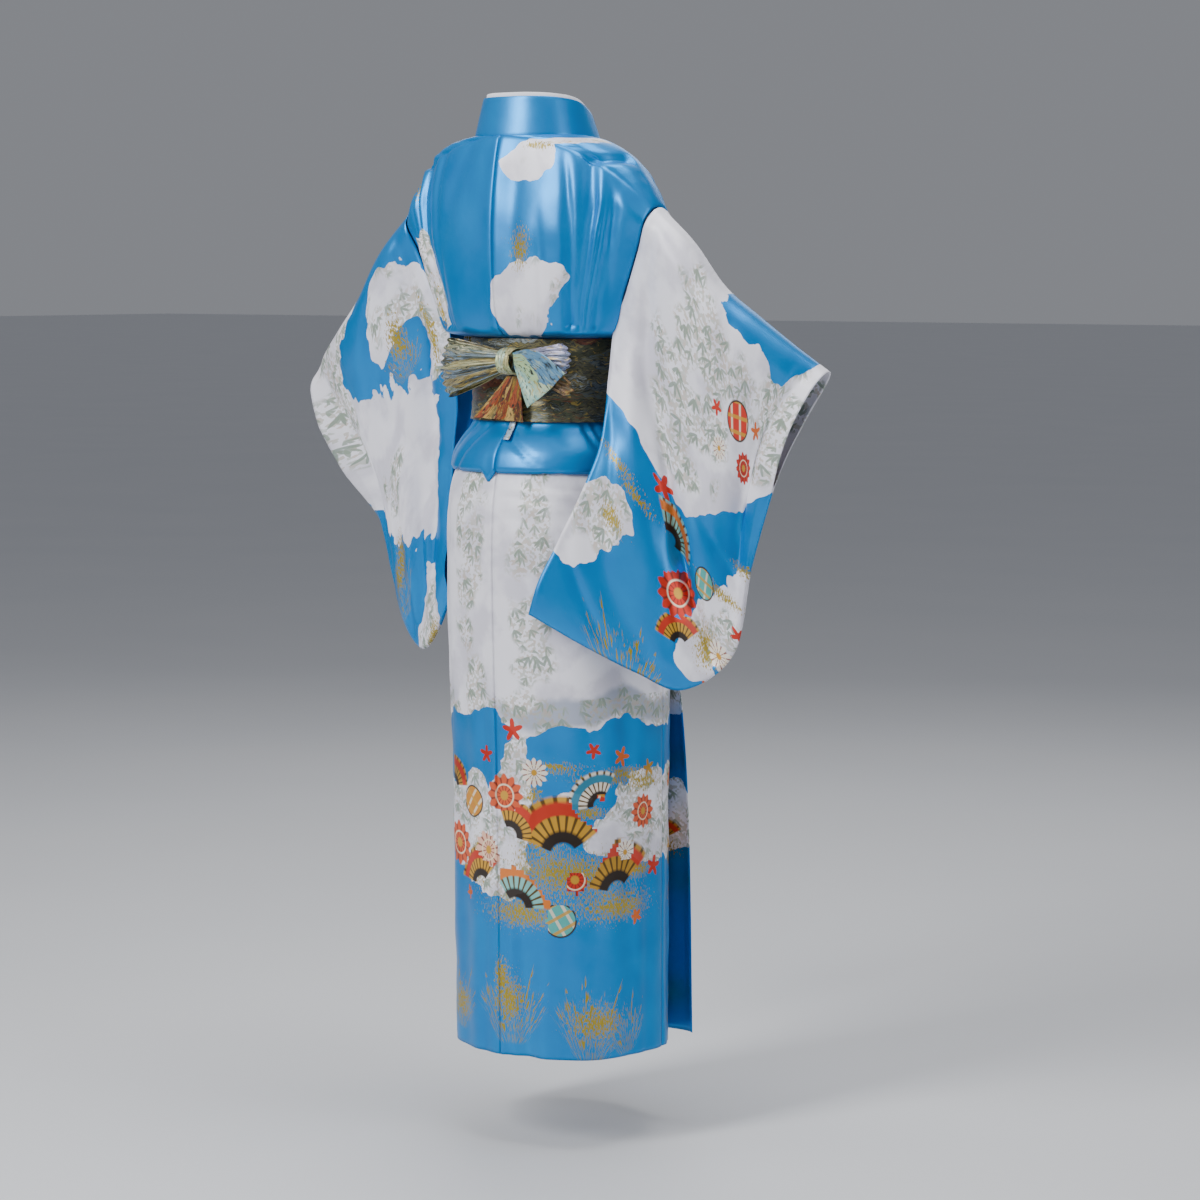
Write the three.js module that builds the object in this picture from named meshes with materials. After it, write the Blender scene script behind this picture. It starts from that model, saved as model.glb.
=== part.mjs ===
// A worn kimono with its tied belt, in millimetres.
// +Z is up, the wearer faces -Y and the wearer's left is +X.
// The origin is the middle of the neck, level with the collar's seam at the nape.
import * as THREE from 'three';

// Cloth and seams
const CLOTH = 2;
const COLLAR_CLOTH = 3;
const STRIP_CLOTH = 1.5;
const BELT_CLOTH = 3;
const SEAM = 0.3;
const SLEEVE_SEAM = 3;
const COLLAR_TURN = 2;
const BACK_WIDTH = 290;
const BODY_COLUMNS = 12;

// Colours of the satin, the white strip and the belt
const BLUE = 0x2e9cd6;
const WHITE = 0xdedce6;
const BELT_OLIVE = 0x4b4a3c;
const BELT_BLUE = 0x4f93c8;
const BELT_GREEN = 0xb9c9a0;
const BELT_RUST = 0x7a4a2a;

// Level sections of the body, from the belt's top down through the waist tuck to the hem.
// Angles run in degrees from the middle of the back round the side to the front.
// "under" is how far the right front lies inside the left one.
const LEVEL_COLUMNS = [
  'z', 'halfWidth', 'halfDepth', 'middleY', 'under',
  'backSide', 'frontSide', 'frontEdge', 'overlapEdge', 'steps',
];
const LEVELS = [
  [-266, 120, 100.5, -18, 9, 78, 118, 202, 205, 1],
  [-290, 119.5, 99.5, -18, 6, 80, 112, 200, 205, 1],
  [-335, 118.5, 98.5, -18, 6, 95, 103, 190, 205, 1],
  [-385, 120.5, 100.5, -18, 7, 102, 102.3, 180, 205, 1],
  [-396, 124.5, 106.5, -18.5, 10, 102, 102.3, 180, 212, 1],
  [-412, 135, 122, -19, 14, 102, 102.3, 180, 220, 1],
  [-435, 147, 138, -20, 15, 102, 102.3, 180, 226, 1],
  [-452, 150, 141.5, -20, 15, 102, 102.3, 180, 227, 1],
  [-457, 148, 139.5, -20, 15, 102, 102.3, 180, 227, 1],
  [-453, 145.5, 137, -20, 15, 102, 102.3, 180, 227, 1],
  [-446, 143.5, 135, -20, 15, 102, 102.3, 180, 227, 1],
  [-429, 138.5, 129.5, -20, 15, 102, 102.3, 180, 227, 1],
  [-425, 136, 127, -20, 15, 102, 102.3, 180, 227, 1],
  [-430, 134.5, 125.5, -20, 15, 102, 102.3, 180, 227, 1],
  [-448, 139.5, 131.5, -21, 15, 102, 102.3, 180, 228, 1],
  [-475, 149.5, 142.5, -22, 15, 102, 102.3, 180, 228, 1],
  [-560, 160, 153, -25, 8, 102, 102.3, 180, 228, 1],
  [-680, 160, 153, -27, 6, 102, 102.3, 180, 228, 2],
  [-900, 157, 149, -30, 6, 102, 102.3, 180, 228, 3],
  [-1274, 156, 146, -32, 6, 102, 102.3, 180, 228, 1],
].map((row) => Object.fromEntries(LEVEL_COLUMNS.map((name, k) => [name, row[k]])));
const FRONT_SEAM = 180;
const SEAM_ANGLE = 0.15;
const SQUARENESS = 0.02;
const UNDER_STARTS = 106;
const UNDER_ENDS = 131;
const FIRST_OVERLAP_LEVEL = 3;

// The left front's free edge stands off the skirt, most at the hem
const FLARE = { top: -560, bottom: -1100, reach: 32, angle: 17 };

// Rows of one body length above the belt, up the back, over the shoulder and down the front.
// Each runs from the inner end (centre back, neckline or front edge) by a corner to the armhole's edge.
// "collar" is the collar's free edge beside the row, and "under" is as for the level sections.
const UPPER_ROWS = [
  { inner: [0, 104, -256], corner: [120, 108, -256], edge: [144, 41, -256], steps: 2 },
  { inner: [0, 121, -205], corner: [137, 121, -205], edge: [167, 46, -212], steps: 2 },
  { inner: [0, 123, -130], corner: [155, 124, -130], edge: [192, 50, -152], steps: 2 },
  { inner: [0, 117, -55], corner: [160, 109, -58], edge: [207, 58, -118] },
  { inner: [0, 105, 2], corner: [150, 95, -5], edge: [212, 48, -101], collar: [0, 94, 56] },
  { inner: [43.5, 95.8, 2], corner: [157, 85, -4], edge: [212.4, 43, -98], collar: [35, 87, 56] },
  { inner: [75, 70.5, 2], corner: [165, 63, -2], edge: [212.8, 38, -96], collar: [60, 66, 55] },
  { inner: [87, 30, 2], corner: [172, 30, -4], edge: [213, 31, -95], collar: [73, 34, 51] },
  { inner: [86, -5, -8], corner: [171, 2, -14], edge: [212.7, 22, -97], collar: [72, 6, 42] },
  {
    inner: [81, -30, -26], corner: [168, -20, -30], edge: [211, 8, -104],
    collar: [64, -20, 24], steps: 2,
  },
  {
    inner: [64, -64, -66], corner: [160, -66, -70], edge: [206, -4, -122],
    collar: [42, -50, -20], under: 3, steps: 2,
  },
  {
    inner: [28, -100, -125], corner: [152, -110, -132], edge: [191, -20, -155],
    collar: [-2, -86, -82], under: 7, steps: 2,
  },
  {
    inner: [-22, -122, -200], corner: [137, -128, -205], edge: [166, -40, -212],
    collar: [-60, -114, -166], under: 8, steps: 2,
  },
  {
    inner: [-45, -121, -254], corner: [120, -124, -256], edge: [144, -56, -256],
    collar: [-86, -120, -254], under: 8, collarUnder: 17,
  },
];
const NAPE_ROW = 4;
const SHOULDER_ROW = 7;
const NECK_Y = 36;
const COLLAR_ARC = 25;
const COLLAR_COLUMNS = 3;

// Soft troughs and ridges (negative depth) of the body lengths.
// "across" is measured on the cloth from the centre-back seam, to the right when negative.
const CREASES = [
  { from: [-158, -30], to: [-168, -235], width: 17, depth: 8 },
  { from: [-216, -115], to: [-222, -240], width: 14, depth: 5 },
  { from: [158, -45], to: [150, -235], width: 15, depth: 6 },
  { from: [200, -70], to: [180, -235], width: 15, depth: 7 },
  { from: [0, -40], to: [0, -235], width: 14, depth: -3 },
  { from: [-38, -1110], to: [-42, -1330], width: 18, depth: 8 },
  { from: [70, -720], to: [84, -1330], width: 26, depth: 4 },
  { from: [-120, -640], to: [-150, -1330], width: 30, depth: -4 },
];
const CREASE_TAPER = 45;
const CREASE_LIMITS = [{ from: -470, to: -250 }];

// Sleeves: lines that hang from the top fold (shoulder to wrist) to the bottom seam and the sewn outer edge.
// "radius" is the arm's room at the top, "loose" half the gap between the two layers lower down, and "tuck"
// how far a line bends towards the body before it runs out to the edge.
const SLEEVES = {
  right: {
    side: -1,
    facing: [-0.336, 0.936, 0.089],
    lines: [
      { top: [213, 31, -95], bottom: [70, 135, -647], radius: 46, loose: 6, tuck: 0, steps: 3 },
      { top: [262, 23, -140], bottom: [132, 98, -688], radius: 45, loose: 7, tuck: 0, steps: 3 },
      { top: [306, 9.5, -201], bottom: [203, 66, -725], radius: 43, loose: 8, tuck: 0, steps: 2 },
      { top: [353, -2, -240], bottom: [262, 40, -746], radius: 40, loose: 8, tuck: 20, steps: 2 },
      { top: [401, -17, -279], bottom: [322, 8, -696], radius: 36, loose: 7, tuck: 60, steps: 2 },
      { top: [426, -25, -298], bottom: [348, 5, -580], radius: 33, loose: 10, tuck: 72, steps: 2 },
      { top: [447, -32, -314], bottom: [388, 12, -468], radius: 31, loose: 13, tuck: 20, rounding: 0.5 },
    ],
    freeEdge: [
      { z: -320, back: [147, 56], front: [152, -32] },
      { z: -371, back: [149, 66], front: [160, -5] },
      { z: -423, back: [146, 78], front: [163, 28] },
      { z: -485, back: [128, 96], front: [146, 69] },
      { z: -545, back: [106, 115], front: [114, 103] },
      { z: -600, back: [88, 127], front: [91, 118] },
    ],
    creases: [
      { from: [85, 235], to: [142, 345], width: 26, depth: 12 },
      { from: [142, 345], to: [262, 480], width: 28, depth: 13 },
      { from: [40, 130], to: [85, 235], width: 26, depth: 8 },
      { from: [30, 430], to: [150, 520], width: 20, depth: 4 },
      { from: [200, 120], to: [225, 300], width: 34, depth: -5 },
    ],
  },
  left: {
    side: 1,
    facing: [0.158, 0.98, -0.117],
    lines: [
      { top: [213, 31, -95], bottom: [208, -35, -655], radius: 46, loose: 8, tuck: 0, steps: 3 },
      { top: [266, 22, -143], bottom: [240, -44, -706], radius: 45, loose: 9, tuck: 0, steps: 3 },
      { top: [316, 9, -205], bottom: [272, -48, -736], radius: 43, loose: 9, tuck: 10, steps: 2 },
      { top: [368, -3, -252], bottom: [303, -49, -709], radius: 40, loose: 9, tuck: 30, steps: 2 },
      { top: [417, -19, -292], bottom: [324, -50, -650], radius: 36, loose: 9, tuck: 60, steps: 2 },
      { top: [437, -28, -311], bottom: [345, -48, -560], radius: 33, loose: 11, tuck: 70, steps: 2 },
      { top: [451, -35, -328], bottom: [408, -41, -490], radius: 31, loose: 13, tuck: -16, rounding: 0.5 },
    ],
    freeEdge: [
      { z: -320, back: [152, 22], front: [156, -52] },
      { z: -371, back: [161, 4], front: [169, -48] },
      { z: -423, back: [175, -6], front: [182, -46] },
      { z: -485, back: [188, -15], front: [194, -47] },
      { z: -545, back: [197, -22], front: [203, -48] },
      { z: -600, back: [203, -28], front: [207, -46] },
    ],
    creases: [
      { from: [40, 110], to: [70, 330], width: 26, depth: 10 },
      { from: [150, 150], to: [60, 420], width: 24, depth: 9 },
      { from: [110, 400], to: [130, 560], width: 26, depth: 8 },
      { from: [240, 160], to: [200, 420], width: 32, depth: -6 },
    ],
  },
};
const SLEEVE_DEPTHS = [
  0, 0.011, 0.043, 0.105, 0.16, 0.213, 0.29, 0.38, 0.485, 0.58, 0.67, 0.76, 0.85, 0.94, 1,
];
const ARM_SPREAD = 120;
const ARMHOLE_FADE = 0.42;
const TOP_WIDTH = 340;
const SEAM_ROUNDING = 0.06;
const SEWN_TO = 0.32;
const CORNER_FADE = [0.82, 0.94];

// Belt band, over the body's levels
const BELT = { bottom: -388, top: -273, stand: 3.2, columns: 40, bulge: 1.2 };
const BELT_ROWS = 5;

// Bow: where the knot sits, and its loops and tails
const KNOT = { centre: [-17, 106.4, -304], halfLength: 13, halfDepth: 18.8, halfHeight: 17, waist: 0.8 };
const BOW_LOOPS = [
  {
    name: 'bow_loop_left', colour: BELT_OLIVE, near: [-15, 106, -304], far: [104, 104, -316],
    nearHeight: 22, farHeight: 82, gap: 13, pleats: 3, pleatDepth: 3.5, rows: 10, columns: 18,
  },
  {
    name: 'bow_loop_right', colour: BELT_BLUE, near: [-21, 105, -300], far: [-112, 99, -300],
    nearHeight: 16, farHeight: 42, gap: 8, pleats: 1, pleatDepth: 2, rows: 6, columns: 16,
  },
  {
    name: 'bow_loop_low', colour: BELT_RUST, near: [-22, 104, -312.5], far: [-114, 94, -341],
    nearHeight: 5, farHeight: 24, gap: 5, pleats: 0, pleatDepth: 0, rows: 4, columns: 12,
  },
];
const BOW_TAILS = [
  {
    name: 'bow_tail_point', colour: BELT_GREEN, rows: 6, columns: 6, wave: 3, waves: 1,
    nearTop: [-31.5, 120, -292], nearBottom: [-31.5, 117, -312],
    farTop: [-118, 110, -319], farBottom: [-52, 108, -367],
    lift: [0, 3, 16],
  },
  {
    name: 'bow_tail_wide', colour: BELT_RUST, rows: 6, columns: 9, wave: 2.5, waves: 3,
    nearTop: [-6, 101, -324.5], nearBottom: [-29, 101, -324.5],
    farTop: [64, 83.5, -384], farBottom: [-32, 93, -388],
    lift: [0, -3, 0],
  },
];

const DEGREE = Math.PI / 180;
const vector = (point) => new THREE.Vector3(...point);
const { lerp, smoothstep } = THREE.MathUtils;

// Smooth value at a fractional place in a list of numbers or points
function smoothAt(values, place) {
  const last = values.length - 1;
  const i = Math.min(Math.floor(place), last - 1);
  const f = place - i;
  const before = values[Math.max(i - 1, 0)];
  const after = values[Math.min(i + 2, last)];
  const blend = (a, b, c, d) => {
    const slopeStart = i > 0 ? (c - a) / 2 : c - b;
    const slopeEnd = i < last - 1 ? (d - b) / 2 : c - b;
    const g = 1 - f;
    return b * (1 + 2 * f) * g * g + c * f * f * (3 - 2 * f) + slopeStart * f * g * g - slopeEnd * f * f * g;
  };
  if (typeof values[0] === 'number') {
    return blend(before, values[i], values[i + 1], after);
  }
  const axes = Array.from(values[i].keys());
  return axes.map((axis) => blend(before[axis], values[i][axis], values[i + 1][axis], after[axis]));
}

// Places along a table whose rows say how many steps lead to the next row
function placesAlong(rows) {
  const places = [];
  rows.slice(0, -1).forEach((row, i) => {
    const steps = row.steps ?? 1;
    for (let step = 0; step < steps; step += 1) {
      places.push(i + step / steps);
    }
  });
  places.push(rows.length - 1);
  return places;
}

// Unit normals of a grid of points, whose columns may run round a ring
function gridNormals(grid, ring) {
  const rows = grid.length;
  const columns = grid[0].length;
  const column = (j) => (ring ? (j + columns) % columns : THREE.MathUtils.clamp(j, 0, columns - 1));
  return grid.map((row, i) => row.map((point, j) => {
    const across = row[column(j + 1)].clone().sub(row[column(j - 1)]);
    const along = grid[Math.min(i + 1, rows - 1)][j].clone().sub(grid[Math.max(i - 1, 0)][j]);
    return across.cross(along).normalize();
  }));
}

// A closed cloth wall about a grid of middle points
function clothWall(grid, thickness, ring = false) {
  const rows = grid.length;
  const columns = grid[0].length;
  const normals = gridNormals(grid, ring);
  const positions = [];
  [0.5, -0.5].forEach((half) => {
    grid.forEach((row, i) => row.forEach((point, j) => {
      positions.push(...point.clone().addScaledVector(normals[i][j], half * thickness).toArray());
    }));
  });
  const outer = (i, j) => i * columns + (j % columns);
  const inner = (i, j) => rows * columns + outer(i, j);
  const faces = [];
  const quad = (a, b, c, d) => faces.push(a, b, c, a, c, d);
  const spans = ring ? columns : columns - 1;
  for (let i = 0; i < rows - 1; i += 1) {
    for (let j = 0; j < spans; j += 1) {
      quad(outer(i, j), outer(i, j + 1), outer(i + 1, j + 1), outer(i + 1, j));
      quad(inner(i, j), inner(i + 1, j), inner(i + 1, j + 1), inner(i, j + 1));
    }
  }
  for (let j = 0; j < spans; j += 1) {
    quad(inner(0, j), inner(0, j + 1), outer(0, j + 1), outer(0, j));
    quad(outer(rows - 1, j), outer(rows - 1, j + 1), inner(rows - 1, j + 1), inner(rows - 1, j));
  }
  if (!ring) {
    for (let i = 0; i < rows - 1; i += 1) {
      quad(outer(i, 0), outer(i + 1, 0), inner(i + 1, 0), inner(i, 0));
      const end = columns - 1;
      quad(inner(i, end), inner(i + 1, end), outer(i + 1, end), outer(i, end));
    }
  }
  const geometry = new THREE.BufferGeometry();
  geometry.setAttribute('position', new THREE.Float32BufferAttribute(positions, 3));
  geometry.setIndex(enclosedVolume(positions, faces) < 0 ? faces.toReversed() : faces);
  geometry.computeVertexNormals();
  return geometry;
}

function enclosedVolume(positions, faces) {
  const corner = (k) => new THREE.Vector3().fromArray(positions, 3 * faces[k]);
  let volume = 0;
  for (let k = 0; k < faces.length; k += 3) {
    volume += corner(k).dot(corner(k + 1).cross(corner(k + 2))) / 6;
  }
  return volume;
}

function piece(name, geometry, colour, roughness = 0.38) {
  const material = new THREE.MeshStandardMaterial({ color: colour, roughness, metalness: 0 });
  const mesh = new THREE.Mesh(geometry, material);
  mesh.name = name;
  return mesh;
}

// How far creases push the cloth in at a place on it
function creaseDepth(creases, across, along) {
  return creases.reduce((sum, crease) => {
    const run = [crease.to[0] - crease.from[0], crease.to[1] - crease.from[1]];
    const length = Math.hypot(...run);
    const offset = [across - crease.from[0], along - crease.from[1]];
    const travelled = (offset[0] * run[0] + offset[1] * run[1]) / length;
    const aside = (offset[0] * run[1] - offset[1] * run[0]) / length;
    const past = Math.max(0, -travelled, travelled - length);
    return sum + crease.depth * Math.exp(-((aside / crease.width) ** 2) - (past / CREASE_TAPER) ** 2);
  }, 0);
}

// A point of a level section. The side is 1 on the wearer's left and -1 on the right.
function levelPoint(level, side, angle) {
  const under = side < 0 ? level.under * smoothstep(angle, UNDER_STARTS, UNDER_ENDS) : 0;
  const turn = angle * DEGREE;
  const square = 1 + SQUARENESS * Math.sin(2 * turn) ** 2;
  return new THREE.Vector3(
    side * (level.halfWidth - under) * Math.sin(turn) * square,
    level.middleY + (level.halfDepth - under) * Math.cos(turn) * square,
    level.z,
  );
}

function levelRow(level, side, fromAngle, toAngle, columns) {
  const angles = Array.from({ length: columns + 1 }, (_, j) => lerp(fromAngle, toAngle, j / columns));
  return angles.map((angle) => levelPoint(level, side, angle));
}

// A point of a row above the belt, u from the inner end to the armhole
function upperPoint(row, side, u) {
  const [x, y, z] = [0, 1, 2].map((axis) => (
    row.inner[axis] * (1 - u) ** 2 + row.corner[axis] * 2 * u * (1 - u) + row.edge[axis] * u ** 2
  ));
  const under = side < 0 ? (row.under ?? 0) * (1 - u ** 2) : 0;
  return new THREE.Vector3(side * x, y + under, z);
}

function upperRow(row, side) {
  return Array.from({ length: BODY_COLUMNS + 1 }, (_, j) => upperPoint(row, side, j / BODY_COLUMNS));
}

// Rows between the given ones, smoothed where a row asks for more than one step
function refineRows(rows, steps) {
  const places = placesAlong(steps.map((count) => ({ steps: count })));
  return places.map((place) => rows[0].map((_, j) => (
    vector(smoothAt(rows.map((row) => row[j].toArray()), place))
  )));
}

// One body length from the back hem over the shoulder to the front hem
function bodyGrid(side) {
  const back = LEVELS.map((level) => levelRow(level, side, 0, level.backSide, BODY_COLUMNS)).reverse();
  const front = LEVELS.map((level) => levelRow(level, side, level.frontEdge, level.frontSide, BODY_COLUMNS));
  const upper = UPPER_ROWS.map((row) => upperRow(row, side));
  const backSteps = LEVELS.map((level) => level.steps).reverse();
  const levelSteps = [...backSteps.slice(1), 1];
  const frontSteps = LEVELS.map((level, i) => LEVELS[i + 1]?.steps ?? 1);
  const steps = [...levelSteps, ...UPPER_ROWS.map((row) => row.steps ?? 1), ...frontSteps];
  const grid = refineRows([...back, ...upper, ...front], steps);
  return creased(grid, side);
}

// The grid with its creases, which leave the belted waist and the tuck alone
function creased(grid, side) {
  const shoulder = grid.findIndex((row) => row[0].y < 0 && row[0].z > -200);
  const normals = gridNormals(grid, false);
  return grid.map((row, i) => row.map((point, j) => {
    const across = side * BACK_WIDTH * (j / BODY_COLUMNS);
    const belted = CREASE_LIMITS.some((limit) => point.z > limit.from && point.z < limit.to);
    const depth = i >= shoulder || belted ? 0 : creaseDepth(CREASES, across, point.z);
    const moved = point.clone().addScaledVector(normals[i][j], side * depth);
    moved.x += side * SEAM / 2;
    return moved;
  }));
}

function overlapGrid(side) {
  const levels = LEVELS.slice(FIRST_OVERLAP_LEVEL);
  const rows = levels.map((level) => {
    const start = FRONT_SEAM + SEAM_ANGLE;
    const row = levelRow(level, side, start, level.overlapEdge, 5);
    return row.map((point, j) => {
      const angle = lerp(start, level.overlapEdge, j / 5);
      return side > 0 ? flared(point, level, angle) : point;
    });
  });
  const steps = levels.map((level, i) => levels[i + 1]?.steps ?? 1);
  return refineRows(rows, steps);
}

function flared(point, level, angle) {
  const low = smoothstep(-point.z, -FLARE.top, -FLARE.bottom);
  const out = low * FLARE.reach * smoothstep(angle, level.overlapEdge - FLARE.angle, level.overlapEdge);
  const away = new THREE.Vector3(point.x, point.y - level.middleY, 0).normalize();
  return point.clone().addScaledVector(away, out);
}

// Seam and free edge of the collar on one side, from the nape to its end behind the belt
function collarRows(side) {
  const upper = UPPER_ROWS.slice(NAPE_ROW).map((row) => {
    const seam = upperPoint(row, side, 0);
    const lies = row.under !== undefined;
    const fromNeck = new THREE.Vector3(seam.x, seam.y - NECK_Y, 0);
    const beside = lies ? upperPoint(row, side, 0.02).sub(seam) : fromNeck;
    const under = side < 0 ? row.collarUnder ?? row.under ?? 0 : 0;
    const edge = new THREE.Vector3(side * row.collar[0], row.collar[1] + under, row.collar[2]);
    seam.addScaledVector(beside.normalize(), lies ? -SEAM : -COLLAR_TURN);
    return { seam, edge, steps: row.steps ?? 1 };
  });
  const belted = LEVELS.slice(0, 2).map((level) => ({
    seam: levelPoint(level, side, level.frontEdge + SEAM_ANGLE),
    edge: levelPoint(level, side, level.frontEdge + COLLAR_ARC),
    steps: 1,
  }));
  return [...upper, ...belted];
}

function collarGrid() {
  const left = collarRows(1);
  const right = collarRows(-1).reverse();
  const rows = [...right.slice(0, -1), ...left];
  const rightSteps = right.map((row, i) => right[i + 1]?.steps ?? 1).slice(0, -1);
  const steps = [...rightSteps, ...left.map((row) => row.steps)];
  const bands = rows.map((row) => Array.from({ length: COLLAR_COLUMNS + 1 }, (_, j) => (
    row.seam.clone().lerp(row.edge, j / COLLAR_COLUMNS)
  )));
  return refineRows(bands, steps);
}

// The white strip lies inside the collar and stands a little above its edge
function stripGrid(collar) {
  const normals = gridNormals(collar, false);
  const middle = (collar.length - 1) / 2;
  const reach = Math.round(collar.length * 0.22);
  const rows = collar.slice(middle - reach, middle + reach + 1);
  const inset = COLLAR_CLOTH / 2 + SEAM + STRIP_CLOTH / 2 + 0.3;
  return rows.map((row, i) => {
    const up = row[COLLAR_COLUMNS].clone().sub(row[0]).normalize();
    return [-24, -9, 6].map((rise, k) => {
      const normal = normals[middle - reach + i][k === 0 ? COLLAR_COLUMNS - 1 : COLLAR_COLUMNS];
      const inward = normal.dot(new THREE.Vector3(row[0].x, row[0].y - NECK_Y, 0)) > 0 ? -inset : inset;
      return row[COLLAR_COLUMNS].clone().addScaledVector(up, rise).addScaledVector(normal, inward);
    });
  });
}

// Half the gap between a sleeve's layers at a distance down from its top fold
function halfGap(line, length, depth) {
  const down = depth * length;
  const spread = Math.exp(-((Math.max(0, down - line.radius) / ARM_SPREAD) ** 2));
  const open = line.loose + (line.radius - line.loose) * spread;
  const round = down < line.radius ? Math.sqrt(1 - (1 - down / line.radius) ** 2) : 1;
  const closing = Math.sqrt(Math.min(1, (1 - depth) / line.rounding));
  return open * round * closing;
}

// The sleeve's edge at the armhole and below it, as a smooth run of places down each layer
function innerEdge(sleeve) {
  const sewn = [SHOULDER_ROW, 6, 4, 3, 2, 1, 0].map((i) => UPPER_ROWS[i].edge);
  const fronts = [7, 8, 9, 10, 11, 12, 13].map((i) => UPPER_ROWS[i].edge);
  const bottom = sleeve.lines[0].bottom;
  const free = (layer) => sleeve.freeEdge.map((row) => [row[layer][0], row[layer][1], row.z]);
  return { back: [...sewn, ...free('back'), bottom], front: [...fronts, ...free('front'), bottom] };
}

// The place on a run of points where it reaches a depth, as a fraction of the fall from its first to its last
function atDepth(points, depth) {
  const target = lerp(points[0][2], points.at(-1)[2], depth);
  const i = Math.max(0, points.findIndex((point) => point[2] <= target) - 1);
  const fall = points[i][2] - points[i + 1][2];
  return vector(smoothAt(points, i + (points[i][2] - target) / fall));
}

function sleeveGrid(sleeve) {
  const facing = vector(sleeve.facing).normalize();
  const places = placesAlong(sleeve.lines);
  const last = sleeve.lines.length - 1;
  const edges = innerEdge(sleeve);
  const mirror = (point) => vector([sleeve.side * point[0], point[1], point[2]]);
  const column = (name, place) => smoothAt(sleeve.lines.map((line) => line[name] ?? SEAM_ROUNDING), place);
  const [start, end] = [sleeve.lines[0].top[0], sleeve.lines[last].top[0]];
  const outward = (place) => (column('top', place)[0] - start) / (end - start);
  const layerPoint = (place, depth, sign) => {
    const [radius, loose, rounding] = ['radius', 'loose', 'rounding'].map((name) => column(name, place));
    const top = mirror(column('top', place));
    const bottom = mirror(column('bottom', place));
    const length = top.distanceTo(bottom);
    const t = outward(place);
    const crease = creaseDepth(sleeve.creases, TOP_WIDTH * t, depth * length);
    const ends = smoothstep(t, 0, 0.15) * (1 - smoothstep(depth, 0.9, 1)) * smoothstep(depth, 0, 0.15);
    const tuck = vector([-sleeve.side, 0, 0]).multiplyScalar(column('tuck', place) * 2 * depth * (1 - depth));
    const layer = sign * halfGap({ radius, loose, rounding }, length, depth) - crease * ends;
    return top.lerp(bottom, depth).add(tuck).addScaledVector(facing, layer);
  };
  return places.map((place) => {
    const fade = Math.max(0, 1 - outward(place) / ARMHOLE_FADE) ** 2;
    const at = (depth, sign) => {
      const edge = mirror(atDepth(sign > 0 ? edges.back : edges.front, depth).toArray());
      const seamward = layerPoint(0.6, depth, sign).sub(edge).normalize();
      edge.addScaledVector(seamward, SLEEVE_SEAM * (1 - smoothstep(depth, SEWN_TO, 1.5 * SEWN_TO)));
      const held = fade * (1 - smoothstep(depth, ...CORNER_FADE));
      const shift = edge.sub(layerPoint(0, depth, sign)).multiplyScalar(held);
      return layerPoint(place, depth, sign).add(shift);
    };
    const down = SLEEVE_DEPTHS.map((depth) => at(depth, 1));
    const up = SLEEVE_DEPTHS.slice(1, -1).reverse().map((depth) => at(depth, -1));
    return [...down, ...up];
  });
}

// The body's level section at a height within the belt
function beltedLevel(z) {
  const i = LEVELS.findIndex((level, k) => level.z >= z && LEVELS[k + 1].z <= z);
  const [above, below] = [LEVELS[i], LEVELS[i + 1]];
  const f = (above.z - z) / (above.z - below.z);
  const mix = (name) => lerp(above[name], below[name], f);
  return { z, halfWidth: mix('halfWidth'), halfDepth: mix('halfDepth'), middleY: mix('middleY'), under: 0 };
}

function beltGrid() {
  return Array.from({ length: BELT_ROWS }, (_, i) => {
    const v = i / (BELT_ROWS - 1);
    const level = beltedLevel(lerp(BELT.bottom, BELT.top, v));
    const stand = BELT.stand + BELT.bulge * Math.sin(Math.PI * v);
    level.halfWidth += stand;
    level.halfDepth += stand;
    return Array.from({ length: BELT.columns }, (__, j) => levelPoint(level, 1, 360 * j / BELT.columns));
  });
}

// The knot is a short band wrapped round the pinched middle of the bow, narrower at its waist
function knotGrid() {
  const rows = 4;
  return Array.from({ length: rows + 1 }, (_, i) => {
    const along = lerp(-1, 1, i / rows);
    const swell = 1 + 0.06 * (1 - along ** 2);
    return Array.from({ length: 16 }, (__, j) => {
      const turn = 2 * Math.PI * j / 16;
      return vector(KNOT.centre).add(vector([
        along * KNOT.halfLength * (1 - 0.15 * Math.cos(turn) ** 2),
        KNOT.halfDepth * Math.cos(turn),
        KNOT.halfHeight * Math.sin(turn) * swell,
      ]));
    });
  });
}

// A loop of the bow: cloth that runs out from the knot, turns and comes back
function loopGrid(loop) {
  const near = vector(loop.near);
  const far = vector(loop.far);
  return Array.from({ length: loop.rows + 1 }, (_, i) => {
    const v = lerp(-1, 1, i / loop.rows);
    return Array.from({ length: loop.columns }, (__, j) => {
      const turn = 2 * Math.PI * (j + 0.5) / loop.columns;
      const along = (1 - Math.cos(turn)) / 2;
      const gap = lerp(5, loop.gap, smoothstep(along, 0, 0.6));
      const aside = Math.sign(Math.sin(turn)) * Math.sqrt(Math.abs(Math.sin(turn))) * gap;
      const pleat = loop.pleatDepth * Math.cos(Math.PI * loop.pleats * v) * Math.sin(Math.PI * along);
      const height = lerp(loop.nearHeight, loop.farHeight, along) / 2;
      const shorter = 1 - 0.12 * v * v * along;
      const point = near.clone().lerp(far, along * shorter);
      return point.add(vector([0, aside + pleat, v * height]));
    });
  });
}

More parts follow.
